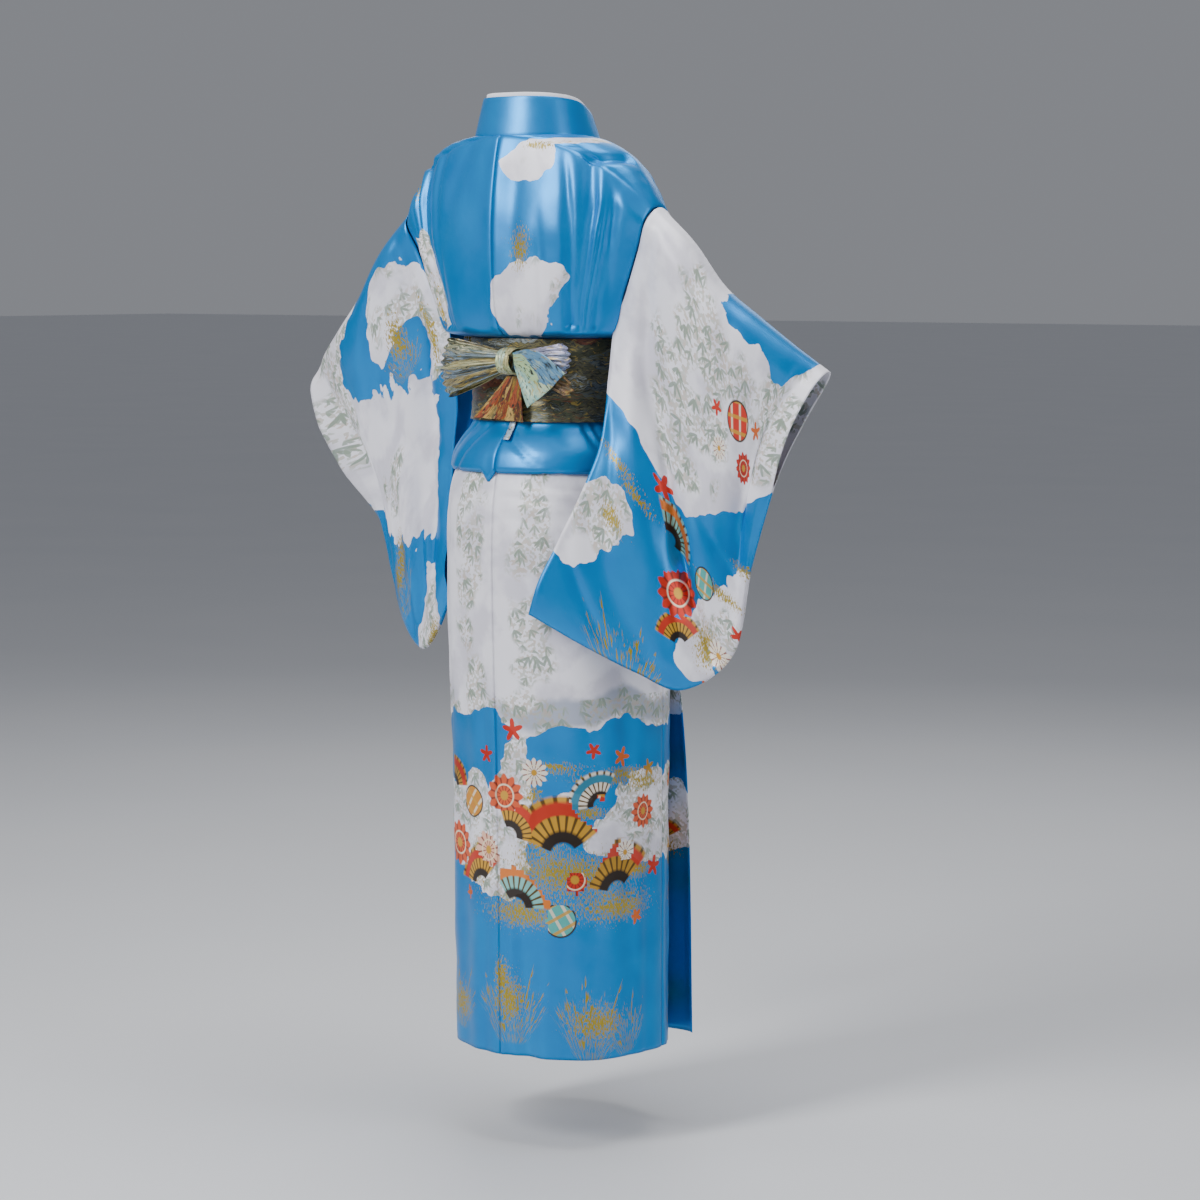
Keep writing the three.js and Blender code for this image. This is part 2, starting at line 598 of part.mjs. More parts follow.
// A tail of the bow: a sheet between its near and far edges, lifted along its top side and softly waved
function tailGrid(tail) {
  return Array.from({ length: tail.rows + 1 }, (_, i) => {
    const out = i / tail.rows;
    const top = vector(tail.nearTop).lerp(vector(tail.farTop), out);
    const bottom = vector(tail.nearBottom).lerp(vector(tail.farBottom), out);
    top.addScaledVector(vector(tail.lift), Math.sin(Math.PI * out));
    return Array.from({ length: tail.columns + 1 }, (__, j) => {
      const across = j / tail.columns;
      const wave = tail.wave * (Math.cos(2 * Math.PI * tail.waves * across) + 1) * smoothstep(out, 0, 1);
      return top.clone().lerp(bottom, across).add(vector([0, wave, 0]));
    });
  });
}

const kimono = new THREE.Group();
const collar = collarGrid();
kimono.add(
  piece('body_right', clothWall(bodyGrid(-1), CLOTH), BLUE),
  piece('body_left', clothWall(bodyGrid(1), CLOTH), BLUE),
  piece('overlap_right', clothWall(overlapGrid(-1), CLOTH), BLUE),
  piece('overlap_left', clothWall(overlapGrid(1), CLOTH), BLUE),
  piece('collar', clothWall(collar, COLLAR_CLOTH), BLUE),
  piece('inner_collar', clothWall(stripGrid(collar), STRIP_CLOTH), WHITE, 0.7),
  piece('sleeve_right', clothWall(sleeveGrid(SLEEVES.right), CLOTH, true), BLUE),
  piece('sleeve_left', clothWall(sleeveGrid(SLEEVES.left), CLOTH, true), BLUE),
  piece('belt_band', clothWall(beltGrid(), BELT_CLOTH, true), BELT_OLIVE, 0.5),
  piece('bow_knot', clothWall(knotGrid(), CLOTH, true), BELT_GREEN, 0.5),
  ...BOW_LOOPS.map((loop) => piece(loop.name, clothWall(loopGrid(loop), CLOTH, true), loop.colour, 0.5)),
  ...BOW_TAILS.map((tail) => piece(tail.name, clothWall(tailGrid(tail), CLOTH), tail.colour, 0.5)),
);

export default kimono;
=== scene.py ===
import math

import bpy
import numpy as np
from bpy.props import FloatProperty, IntProperty, PointerProperty, StringProperty
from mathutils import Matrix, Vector


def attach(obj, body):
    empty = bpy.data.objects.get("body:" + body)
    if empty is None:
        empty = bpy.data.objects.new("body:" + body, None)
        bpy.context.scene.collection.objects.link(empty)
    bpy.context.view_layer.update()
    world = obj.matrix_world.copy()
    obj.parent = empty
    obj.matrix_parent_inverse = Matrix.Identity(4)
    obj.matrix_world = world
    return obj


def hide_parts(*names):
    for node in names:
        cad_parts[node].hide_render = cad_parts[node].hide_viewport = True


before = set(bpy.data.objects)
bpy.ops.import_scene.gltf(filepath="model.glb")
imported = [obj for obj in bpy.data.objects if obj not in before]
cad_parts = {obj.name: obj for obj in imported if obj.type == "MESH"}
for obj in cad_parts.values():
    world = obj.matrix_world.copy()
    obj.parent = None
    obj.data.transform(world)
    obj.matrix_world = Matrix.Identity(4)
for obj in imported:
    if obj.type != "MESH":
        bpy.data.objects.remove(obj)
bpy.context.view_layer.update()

bl_info = {
    "name": "Kimono",
    "version": (1, 0, 0),
    "blender": (4, 5, 0),
    "location": "3D View > Sidebar > Kimono",
    "description": "A worn satin kimono with printed mist and a tied belt",
    "category": "Object",
}

MM = 0.001

# The cloth's own sizes, in millimetres, with +Z up, the front at -Y and the left sleeve at +X
BACK_WIDTH = 290.0
SLEEVE_WIDTH = 340.0
SEAM = 0.3
SLEEVE_SEAM = 3.0
COLLAR_TURN = 2.0
NECK_Y = 36.0

# Level sections of the body from the belt's top to the hem, as ellipses:
# z, half width, half depth, middle y, how far the right front lies inside, then angles in degrees
# from the middle of the back: end of the back, start of the front, front seam, overlap's free edge
LEVELS = np.array([
    (-266, 120, 100.5, -18, 9, 78, 118, 202, 205),
    (-290, 119.5, 99.5, -18, 6, 80, 112, 200, 205),
    (-335, 118.5, 98.5, -18, 6, 95, 103, 190, 205),
    (-385, 120.5, 100.5, -18, 7, 102, 102.3, 180, 205),
    (-396, 124.5, 106.5, -18.5, 10, 102, 102.3, 180, 212),
    (-412, 135, 122, -19, 14, 102, 102.3, 180, 220),
    (-435, 147, 138, -20, 15, 102, 102.3, 180, 226),
    (-452, 150, 141.5, -20, 15, 102, 102.3, 180, 227),
    (-457, 148, 139.5, -20, 15, 102, 102.3, 180, 227),
    (-453, 145.5, 137, -20, 15, 102, 102.3, 180, 227),
    (-446, 143.5, 135, -20, 15, 102, 102.3, 180, 227),
    (-429, 138.5, 129.5, -20, 15, 102, 102.3, 180, 227),
    (-425, 136, 127, -20, 15, 102, 102.3, 180, 227),
    (-430, 134.5, 125.5, -20, 15, 102, 102.3, 180, 227),
    (-448, 139.5, 131.5, -21, 15, 102, 102.3, 180, 228),
    (-475, 149.5, 142.5, -22, 15, 102, 102.3, 180, 228),
    (-560, 160, 153, -25, 8, 102, 102.3, 180, 228),
    (-680, 160, 153, -27, 6, 102, 102.3, 180, 228),
    (-900, 157, 149, -30, 6, 102, 102.3, 180, 228),
    (-1274, 156, 146, -32, 6, 102, 102.3, 180, 228),
], float)
Z, HALF_WIDTH, HALF_DEPTH, MIDDLE_Y, UNDER, BACK_SIDE, FRONT_SIDE, FRONT_EDGE, OVERLAP_EDGE = range(9)
SQUARENESS = 0.02
UNDER_STARTS, UNDER_ENDS = 106.0, 131.0
FRONT_SEAM = 180.0
SEAM_ANGLE = 0.15
FIRST_OVERLAP_LEVEL = 3
FLARE = {"top": -560.0, "bottom": -1100.0, "reach": 32.0, "angle": 17.0}

# Rows of a body length above the belt, up the back, over the shoulder and down the front:
# inner end, corner and armhole edge of a curve, the collar's free edge beside it, how far the right
# front and its collar lie inside, and 1 where the collar stands up from the row
UPPER_ROWS = [
    ((0, 104, -256), (120, 108, -256), (144, 41, -256), None, 0, 0, 0),
    ((0, 121, -205), (137, 121, -205), (167, 46, -212), None, 0, 0, 0),
    ((0, 123, -130), (155, 124, -130), (192, 50, -152), None, 0, 0, 0),
    ((0, 117, -55), (160, 109, -58), (207, 58, -118), None, 0, 0, 0),
    ((0, 105, 2), (150, 95, -5), (212, 48, -101), (0, 94, 56), 0, 0, 1),
    ((43.5, 95.8, 2), (157, 85, -4), (212.4, 43, -98), (35, 87, 56), 0, 0, 1),
    ((75, 70.5, 2), (165, 63, -2), (212.8, 38, -96), (60, 66, 55), 0, 0, 1),
    ((87, 30, 2), (172, 30, -4), (213, 31, -95), (73, 34, 51), 0, 0, 1),
    ((86, -5, -8), (171, 2, -14), (212.7, 22, -97), (72, 6, 42), 0, 0, 1),
    ((81, -30, -26), (168, -20, -30), (211, 8, -104), (64, -20, 24), 0, 0, 1),
    ((64, -64, -66), (160, -66, -70), (206, -4, -122), (42, -50, -20), 3, 3, 0),
    ((28, -100, -125), (152, -110, -132), (191, -20, -155), (-2, -86, -82), 7, 7, 0),
    ((-22, -122, -200), (137, -128, -205), (166, -40, -212), (-60, -114, -166), 8, 8, 0),
    ((-45, -121, -254), (120, -124, -256), (144, -56, -256), (-86, -120, -254), 8, 17, 0),
]
NAPE_ROW = 4
SHOULDER_ROW = 7
COLLAR_ARC = 25.0

# Soft troughs (ridges where the depth is negative) of the body's back, in cloth coordinates:
# from (across, z) to (across, z), width and depth. Across is negative on the right body length.
BACK_CREASES = [
    ((-158, -30), (-168, -235), 17, 8),
    ((-216, -115), (-222, -240), 14, 5),
    ((158, -45), (150, -235), 15, 6),
    ((200, -70), (180, -235), 15, 7),
    ((0, -40), (0, -235), 14, -3),
    ((-38, -1110), (-42, -1330), 18, 8),
    ((70, -720), (84, -1330), 26, 4),
    ((-120, -640), (-150, -1330), 30, -4),
]
CREASE_TAPER = 45.0
BELTED = (-470.0, -250.0)

# A sleeve's lines from the top fold to the bottom seam: top point, bottom point, half the room inside
# at the top and lower down, how far the line bends to the body, and how round the bottom closes. Its
# free edge is the opening below the armhole: z, then x and y of the back's and the front's edge.
SLEEVES = {
    "sleeve_right": {
        "side": -1,
        "facing": (-0.336, 0.936, 0.089),
        "lines": [
            ((213, 31, -95), (70, 135, -647), 46, 6, 0, 0.06),
            ((262, 23, -140), (132, 98, -688), 45, 7, 0, 0.06),
            ((306, 9.5, -201), (203, 66, -725), 43, 8, 0, 0.06),
            ((353, -2, -240), (262, 40, -746), 40, 8, 20, 0.06),
            ((401, -17, -279), (322, 8, -696), 36, 7, 60, 0.06),
            ((426, -25, -298), (348, 5, -580), 33, 10, 72, 0.06),
            ((447, -32, -314), (388, 12, -468), 31, 13, 20, 0.5),
        ],
        "free_edge": [
            (-320, (147, 56), (152, -32)),
            (-371, (149, 66), (160, -5)),
            (-423, (146, 78), (163, 28)),
            (-485, (128, 96), (146, 69)),
            (-545, (106, 115), (114, 103)),
            (-600, (88, 127), (91, 118)),
        ],
        "creases": [
            ((85, 235), (142, 345), 26, 12),
            ((142, 345), (262, 480), 28, 13),
            ((40, 130), (85, 235), 26, 8),
            ((30, 430), (150, 520), 20, 4),
            ((200, 120), (225, 300), 34, -5),
        ],
    },
    "sleeve_left": {
        "side": 1,
        "facing": (0.158, 0.98, -0.117),
        "lines": [
            ((213, 31, -95), (208, -35, -655), 46, 8, 0, 0.06),
            ((266, 22, -143), (240, -44, -706), 45, 9, 0, 0.06),
            ((316, 9, -205), (272, -48, -736), 43, 9, 10, 0.06),
            ((368, -3, -252), (303, -49, -709), 40, 9, 30, 0.06),
            ((417, -19, -292), (324, -50, -650), 36, 9, 60, 0.06),
            ((437, -28, -311), (345, -48, -560), 33, 11, 70, 0.06),
            ((451, -35, -328), (408, -41, -490), 31, 13, -16, 0.5),
        ],
        "free_edge": [
            (-320, (152, 22), (156, -52)),
            (-371, (161, 4), (169, -48)),
            (-423, (175, -6), (182, -46)),
            (-485, (188, -15), (194, -47)),
            (-545, (197, -22), (203, -48)),
            (-600, (203, -28), (207, -46)),
        ],
        "creases": [
            ((40, 110), (70, 330), 26, 10),
            ((150, 150), (60, 420), 24, 9),
            ((110, 400), (130, 560), 26, 8),
            ((240, 160), (200, 420), 32, -6),
        ],
    },
}
ARM_SPREAD = 120.0
ARMHOLE_FADE = 0.42
SEWN_TO = 0.32
CORNER_FADE = (0.82, 0.94)

BELT = {"bottom": -388.0, "top": -273.0, "stand": 3.2, "bulge": 1.2}


def smoothstep(x, low, high):
    """0 up to the low value, 1 from the high one, and a smooth step between."""
    t = np.clip((np.asarray(x, float) - low) / (high - low), 0, 1)
    return t * t * (3 - 2 * t)


def unit(v):
    """Vectors of length 1."""
    v = np.asarray(v, float)
    return v / np.maximum(np.linalg.norm(v, axis=-1, keepdims=True), 1e-9)


def hermite(values, places, slopes):
    """Values between the rows of a list, with the given slope at each row."""
    i = np.minimum(places.astype(int), len(values) - 2)
    f = (places - i).reshape((-1,) + (1,) * (values.ndim - 1))
    g = 1 - f
    return (values[i] * (1 + 2 * f) * g * g + values[i + 1] * f * f * (3 - 2 * f)
            + slopes[i] * f * g * g - slopes[i + 1] * f * f * g)


def smooth_along(values, places):
    """Smooth values at fractional places in a list of numbers or points."""
    values = np.asarray(values, float)
    steps = np.diff(values, axis=0)
    slopes = np.concatenate([steps[:1], (steps[1:] + steps[:-1]) / 2, steps[-1:]])
    return hermite(values, np.asarray(places, float), slopes)


def drape_along(values, places):
    """As smooth_along, but never past the given values, so a turned edge stays where it is."""
    values = np.asarray(values, float)
    steps = np.diff(values, axis=0)
    product = steps[1:] * steps[:-1]
    total = steps[1:] + steps[:-1]
    middle = np.where(product > 0, 2 * product / np.where(product > 0, total, 1), 0)
    slopes = np.concatenate([steps[:1], middle, steps[-1:]])
    return hermite(values, np.asarray(places, float), slopes)


def places_for(rows, pitch):
    """Places along a list of rows of points, about a pitch apart on the cloth."""
    rows = np.asarray(rows)
    gaps = np.linalg.norm(np.diff(rows, axis=0), axis=2).max(axis=1)
    counts = np.maximum(1, np.ceil(gaps / pitch)).astype(int)
    parts = [i + np.arange(n) / n for i, n in enumerate(counts)]
    return np.concatenate(parts + [[len(rows) - 1.0]])


def run_along(points):
    """The distance run along a line of points, from its first."""
    return np.concatenate([[0], np.cumsum(np.linalg.norm(np.diff(points, axis=0), axis=1))])


def meshed(*parts):
    """Parts that broadcast together, as the last axis of one array."""
    return np.stack(np.broadcast_arrays(*parts), axis=-1)


def grid_normals(grid):
    """The direction across the cloth at each point of a grid."""
    across = np.gradient(grid, axis=1)
    along = np.gradient(grid, axis=0)
    return unit(np.cross(across, along))


def crease_depth(creases, across, along):
    """How deep the cloth lies in a list of soft troughs."""
    depth = np.zeros(np.broadcast(across, along).shape)
    for start, end, width, deep in creases:
        run = np.subtract(end, start).astype(float)
        length = np.hypot(*run)
        dx, dy = across - start[0], along - start[1]
        travelled = (dx * run[0] + dy * run[1]) / length
        aside = (dx * run[1] - dy * run[0]) / length
        past = np.maximum(0, np.maximum(-travelled, travelled - length))
        taper = min(CREASE_TAPER, 0.6 * length + 6)
        depth += deep * np.exp(-(aside / width) ** 2 - (past / taper) ** 2)
    return depth


def level_points(level, side, angles):
    """Points of one level section of the body, at angles from the middle of the back."""
    turn = np.radians(angles)
    under = level[UNDER] * smoothstep(angles, UNDER_STARTS, UNDER_ENDS) if side < 0 else 0
    square = 1 + SQUARENESS * np.sin(2 * turn) ** 2
    x = side * (level[HALF_WIDTH] - under) * np.sin(turn) * square
    y = level[MIDDLE_Y] + (level[HALF_DEPTH] - under) * np.cos(turn) * square
    return np.stack([x, y, np.full_like(x, level[Z])], axis=-1)


def upper_points(row, side, u):
    """Points of one upper row, from its inner end to the armhole."""
    u = np.asarray(u, float)[:, None]
    inner, corner, edge = (np.array(p, float) for p in row[:3])
    point = inner * (1 - u) ** 2 + corner * 2 * u * (1 - u) + edge * u ** 2
    point[:, 0] *= side
    if side < 0:
        point[:, 1] += row[4] * (1 - u[:, 0] ** 2)
    return point


def body_grid(side, columns, pitch):
    """One body length from the back hem over the shoulder to the front hem, and where each row is."""
    u = np.linspace(0, 1, columns + 1)
    back = [level_points(lv, side, u * lv[BACK_SIDE]) for lv in LEVELS[::-1]]
    front = [level_points(lv, side, lv[FRONT_EDGE] + u * (lv[FRONT_SIDE] - lv[FRONT_EDGE])) for lv in LEVELS]
    rows = np.array(back + [upper_points(row, side, u) for row in UPPER_ROWS] + front)
    places = places_for(rows, pitch)
    grid = drape_along(rows, places)
    shoulder = len(LEVELS) + SHOULDER_ROW
    return grid, places - shoulder


def overlap_grid(side, columns, pitch):
    """The overlap panel beside the front; the left one flares at its free edge."""
    start = FRONT_SEAM + SEAM_ANGLE
    rows = []
    for level in LEVELS[FIRST_OVERLAP_LEVEL:]:
        angles = np.linspace(start, level[OVERLAP_EDGE], columns + 1)
        row = level_points(level, side, angles)
        if side > 0:
            low = smoothstep(-level[Z], -FLARE["top"], -FLARE["bottom"])
            free = smoothstep(angles, level[OVERLAP_EDGE] - FLARE["angle"], level[OVERLAP_EDGE])
            lift = low * FLARE["reach"] * free
            away = unit(np.stack([row[:, 0], row[:, 1] - level[MIDDLE_Y], 0 * lift], axis=-1))
            row = row + away * lift[:, None]
        rows.append(row)
    return drape_along(rows, places_for(rows, pitch))


def collar_rows(side):
    """The collar's seam and its free edge on one side, from the nape down to the belt."""
    seams, edges = [], []
    for row in UPPER_ROWS[NAPE_ROW:]:
        seam, near = upper_points(row, side, [0, 0.02])
        free, collar_under, stands = row[3], row[5], row[6]
        if stands:
            beside = unit((seam[0], seam[1] - NECK_Y, 0)) * -COLLAR_TURN
        else:
            beside = unit(near - seam) * -SEAM
        inside = collar_under if side < 0 else 0
        seams.append(seam + beside)
        edges.append((side * free[0], free[1] + inside, free[2]))
    for level in LEVELS[:2]:
        seams.append(level_points(level, side, np.array([level[FRONT_EDGE] + SEAM_ANGLE]))[0])
        edges.append(level_points(level, side, np.array([level[FRONT_EDGE] + COLLAR_ARC]))[0])
    return np.array(seams), np.array(edges, float)


def collar_grid(columns, pitch):
    """The whole collar, from the right end round the nape to the left end."""
    left, right = collar_rows(1), collar_rows(-1)
    seams = np.concatenate([right[0][:0:-1], left[0]])
    edges = np.concatenate([right[1][:0:-1], left[1]])
    t = np.linspace(0, 1, columns + 1)[None, :, None]
    rows = seams[:, None] * (1 - t) + edges[:, None] * t
    return smooth_along(rows, places_for(rows, pitch))


def half_gap(radius, loose, rounding, length, depth):
    """Half the distance between a sleeve's two layers along one of its lines."""
    down = depth * length
    spread = np.exp(-(np.maximum(0, down - radius) / ARM_SPREAD) ** 2)
    wide = loose + (radius - loose) * spread
    curl = np.sqrt(1 - (1 - np.minimum(down / radius, 1)) ** 2)
    closing = np.sqrt(np.minimum(1, (1 - depth) / rounding))
    return wide * curl * closing


def inner_edges(sleeve):
    """A sleeve's back and front edges beside the body, from the shoulder to the bottom."""
    back = [UPPER_ROWS[i][2] for i in (SHOULDER_ROW, 6, 4, 3, 2, 1, 0)]
    front = [UPPER_ROWS[i][2] for i in range(SHOULDER_ROW, len(UPPER_ROWS))]
    back += [(*behind, z) for z, behind, _ in sleeve["free_edge"]]
    front += [(*before, z) for z, _, before in sleeve["free_edge"]]
    bottom = sleeve["lines"][0][1]
    return np.array(back + [bottom], float), np.array(front + [bottom], float)


def at_depth(points, depth):
    """The points of a falling line at fractions of its fall."""
    target = points[0, 2] + (points[-1, 2] - points[0, 2]) * depth
    i = np.array([max(0, int(np.argmax(points[:, 2] <= t + 1e-9)) - 1) for t in target])
    fall = points[i, 2] - points[i + 1, 2]
    return smooth_along(points, np.minimum(i + (points[i, 2] - target) / fall, len(points) - 1))


def sleeve_grid(sleeve, rows, depths, fine_creases=()):
    """Both layers of a sleeve as one sheet, from the bottom seam up the front, over the fold and down."""
    side = sleeve["side"]
    lines = sleeve["lines"]
    flip = np.array([side, 1, 1])
    facing = unit(sleeve["facing"])
    tops = np.array([line[0] for line in lines], float)
    bottoms = np.array([line[1] for line in lines], float)
    numbers = np.array([line[2:] for line in lines], float)
    start, end = tops[0, 0], tops[-1, 0]
    edges = inner_edges(sleeve)

    def layer(place, depth, sign):
        place = np.array([place])
        top = smooth_along(tops, place)[0] * flip
        bottom = smooth_along(bottoms, place)[0] * flip
        radius, loose, tuck, rounding = smooth_along(numbers, place)[0]
        length = np.linalg.norm(bottom - top)
        t = (smooth_along(tops, place)[0][0] - start) / (end - start)
        across, along = SLEEVE_WIDTH * t, depth * length
        ends = smoothstep(t, 0, 0.15) * (1 - smoothstep(depth, 0.9, 1)) * smoothstep(depth, 0, 0.15)
        push = sign * half_gap(radius, loose, rounding, length, depth)
        push = push - crease_depth(sleeve["creases"], across, along) * ends
        fine_ends = (1 - smoothstep(depth, 0.93, 1)) * smoothstep(depth, 0, 0.06) * smoothstep(t, 0, 0.04)
        push = push - sign * crease_depth(fine_creases, across * sign, along) * fine_ends
        bend = np.outer(tuck * 2 * depth * (1 - depth), (-side, 0, 0))
        line = top + (bottom - top) * depth[:, None]
        return line + bend + facing * push[:, None], t, across, along

    grid, cloth = [], []
    for place in rows:
        halves = []
        for sign, edge in ((1, edges[0]), (-1, edges[1])):
            depth = depths if sign > 0 else depths[::-1]
            points, t, across, along = layer(place, depth, sign)
            held = np.maximum(0, 1 - t / ARMHOLE_FADE) ** 2 * (1 - smoothstep(depth, *CORNER_FADE))
            sewn = at_depth(edge, depth) * flip
            toward = unit(layer(0.6, depth, sign)[0] - sewn)
            gap = SLEEVE_SEAM * (1 - smoothstep(depth, SEWN_TO, 1.5 * SEWN_TO))
            sewn = sewn + toward * gap[:, None]
            points = points + (sewn - layer(0.0, depth, sign)[0]) * held[:, None]
            apart = 0.5 * sign * (depth > 1 - 1e-9)
            points = points + facing * apart[:, None]
            halves.append((points, np.stack([0 * depth + across, sign * along], axis=-1)))
        grid.append(np.concatenate([halves[1][0], halves[0][0][1:]]))
        cloth.append(np.concatenate([halves[1][1], halves[0][1][1:]]))
    return np.array(grid), np.array(cloth)


# Extra folds that the satin takes, in cloth coordinates (across, along), with width and depth

BACK_FOLDS = [
    ((-120, -80), (-150, -240), 7, 2.8),
    ((-138, -130), (-160, -246), 5.5, 2.6),
    ((-176, -120), (-186, -246), 7, 2.8),
    ((-196, -130), (-200, -246), 5, 2.6),
    ((-205, -80), (-236, -180), 10, 1.6),
    ((-80, -150), (-96, -246), 8, 1.3),
    ((-30, -60), (-34, -235), 12, 1.2),
    ((120, -30), (128, -240), 10, 1.6),
    ((172, -40), (166, -246), 5, 3.4),
    ((188, -55), (172, -246), 4.5, -2.6),
    ((214, -60), (196, -240), 6, 3.0),
    ((232, -80), (212, -230), 7, 2.2),
    ((238, -165), (178, -240), 7, 2.2),
    ((60, -30), (100, -120), 14, 1.2),
    ((-6, -1080), (-18, -1340), 9, 2.2),
    ((-64, -960), (-52, -1340), 14, 2.0),
    ((-200, -560), (-214, -1340), 20, 2.2),
    ((-250, -900), (-246, -1340), 14, 2.0),
    ((24, -640), (30, -1340), 12, 1.6),
    ((130, -560), (150, -1340), 20, 2.4),
    ((-90, -476), (-190, -486), 5, 1.4),
    ((-60, -492), (-160, -500), 5, 1.1),
    ((-30, -520), (-120, -516), 7, 0.9),
    ((40, -486), (110, -500), 6, 1.2),
]
TUCK_FOLDS = [
    ((-150, -398), (-196, -458), 5, 1.8),
    ((-170, -398), (-212, -452), 5, 2.2),
    ((-196, -400), (-226, -450), 4.5, 1.9),
    ((-14, -408), (-60, -440), 4, 1.2),
    ((-30, -420), (-86, -448), 4, 0.9),
    ((60, -402), (96, -452), 6, 1.5),
    ((110, -402), (136, -450), 6, 1.4),
]
FRONT_FOLDS = [
    ((60, -50), (40, -235), 14, 1.6),
    ((110, -60), (84, -240), 10, 2.0),
    ((150, -70), (128, -240), 9, 2.4),
    ((190, -90), (160, -235), 10, 2.0),
    ((100, -500), (110, -1340), 22, 2.2),
    ((200, -560), (204, -1340), 18, 2.0),
    ((250, -620), (252, -1340), 16, 1.8),
    ((30, -760), (34, -1340), 16, 1.6),
]
SLEEVE_FOLDS = {
    "sleeve_right": [
        ((20, 40), (70, 250), 9, 2.4),
        ((52, 150), (108, 268), 8, 3.0),
        ((98, 262), (170, 372), 8, 5.0),
        ((168, 372), (262, 470), 8, 4.2),
        ((120, 330), (160, 420), 8, -1.8),
        ((14, 300), (60, 420), 10, 1.6),
        ((10, 470), (70, 520), 8, 1.6),
        ((40, 500), (120, 560), 8, 1.4),
        ((110, 60), (150, 220), 16, 1.6),
        ((170, 40), (200, 200), 14, 1.5),
        ((290, 40), (262, 230), 14, 1.6),
        ((318, 30), (296, 200), 10, 1.5),
        ((212, 300), (300, 330), 9, 1.6),
        ((-40, 80), (-90, 300), 16, 2.4),
        ((-110, 200), (-220, 420), 16, 3.0),
        ((-240, 80), (-260, 260), 16, 2.0),
    ],
    "sleeve_left": [
        ((30, 60), (54, 260), 9, 3.0),
        ((70, 90), (44, 300), 8, 2.6),
        ((110, 160), (40, 300), 8, 2.8),
        ((150, 190), (70, 330), 8, 2.2),
        ((60, 330), (72, 560), 12, 3.2),
        ((100, 350), (108, 560), 10, 2.4),
        ((180, 250), (170, 520), 14, 2.4),
        ((240, 60), (220, 300), 16, 1.8),
        ((290, 60), (280, 260), 12, 1.6),
        ((-60, 100), (-80, 400), 16, 2.4),
        ((-180, 120), (-170, 460), 18, 2.6),
    ],
}
BELT_FOLDS = [
    ((-250, -292), (250, -297), 5, 1.6),
    ((-230, -308), (-20, -312), 4.5, 1.4),
    ((-210, -327), (240, -322), 6, 1.8),
    ((-200, -344), (-30, -340), 4.5, 1.4),
    ((-260, -356), (260, -360), 6, 1.8),
    ((-150, -374), (180, -372), 4, 1.2),
    ((-60, -330), (-180, -352), 4, 1.4),
    ((30, -336), (150, -350), 5, 1.4),
]

# A small corner of the tuck hangs below its fold beside the back seam
TUCK_CORNER = {"across": 14.0, "width": 13.0, "drop": 15.0}

# The print. Clouds and gold are soft patches: middle (across, along) and half sizes, in millimetres.
BACK_CLOUDS = [
    (-50, -34, 36, 23), (-66, -18, 22, 16), (-30, -42, 16, 12),
    (-40, -206, 34, 26), (-72, -200, 40, 30), (-112, -192, 26, 17), (-60, -240, 42, 20), (-22, -226, 18, 20),
    (206, -196, 42, 46), (186, -158, 24, 32), (232, -160, 26, 22), (172, -214, 16, 26),
]
BACK_GOLD = [
    (-46, -150, 17, 30), (-64, -12, 26, 6), (214, -60, 12, 26), (196, -232, 12, 20), (180, -205, 8, 26),
]
FRONT_CLOUDS = [
    (70, -110, 40, 30), (104, -128, 30, 22), (150, -210, 38, 26), (60, -215, 30, 22),
]
FRONT_GOLD = [(92, -80, 30, 10), (130, -180, 14, 22)]
SKIRT_LINE = -806.0
SKIRT_CLOUDS = [
    (-250, -905, 52, 34), (-214, -950, 56, 34), (-270, -960, 40, 40), (-176, -968, 36, 16),
    (-30, -880, 26, 60), (-16, -960, 30, 54), (44, -900, 24, 44), (60, -980, 40, 46), (-6, -1020, 34, 30),
    (120, -930, 60, 30), (190, -960, 60, 36), (252, -920, 44, 30), (-118, -905, 22, 8),
]
SKIRT_BLUE = [(20, -820, 26, 34), (78, -842, 50, 26)]
SKIRT_GOLD = [
    (-18, -1196, 24, 34), (-150, -1222, 40, 26), (96, -1214, 28, 26), (-4, -1160, 10, 24),
    (-110, -1010, 90, 30), (-40, -1070, 60, 22), (-190, -1060, 60, 22), (-70, -950, 30, 30),
    (-92, -862, 42, 8), (-160, -880, 46, 8), (-200, -872, 34, 8), (-140, -925, 30, 10), (-60, -900, 12, 12),
    (-226, -1010, 34, 10), (40, -1000, 14, 36), (150, -985, 40, 9), (220, -890, 40, 8), (-240, -890, 34, 12),
]
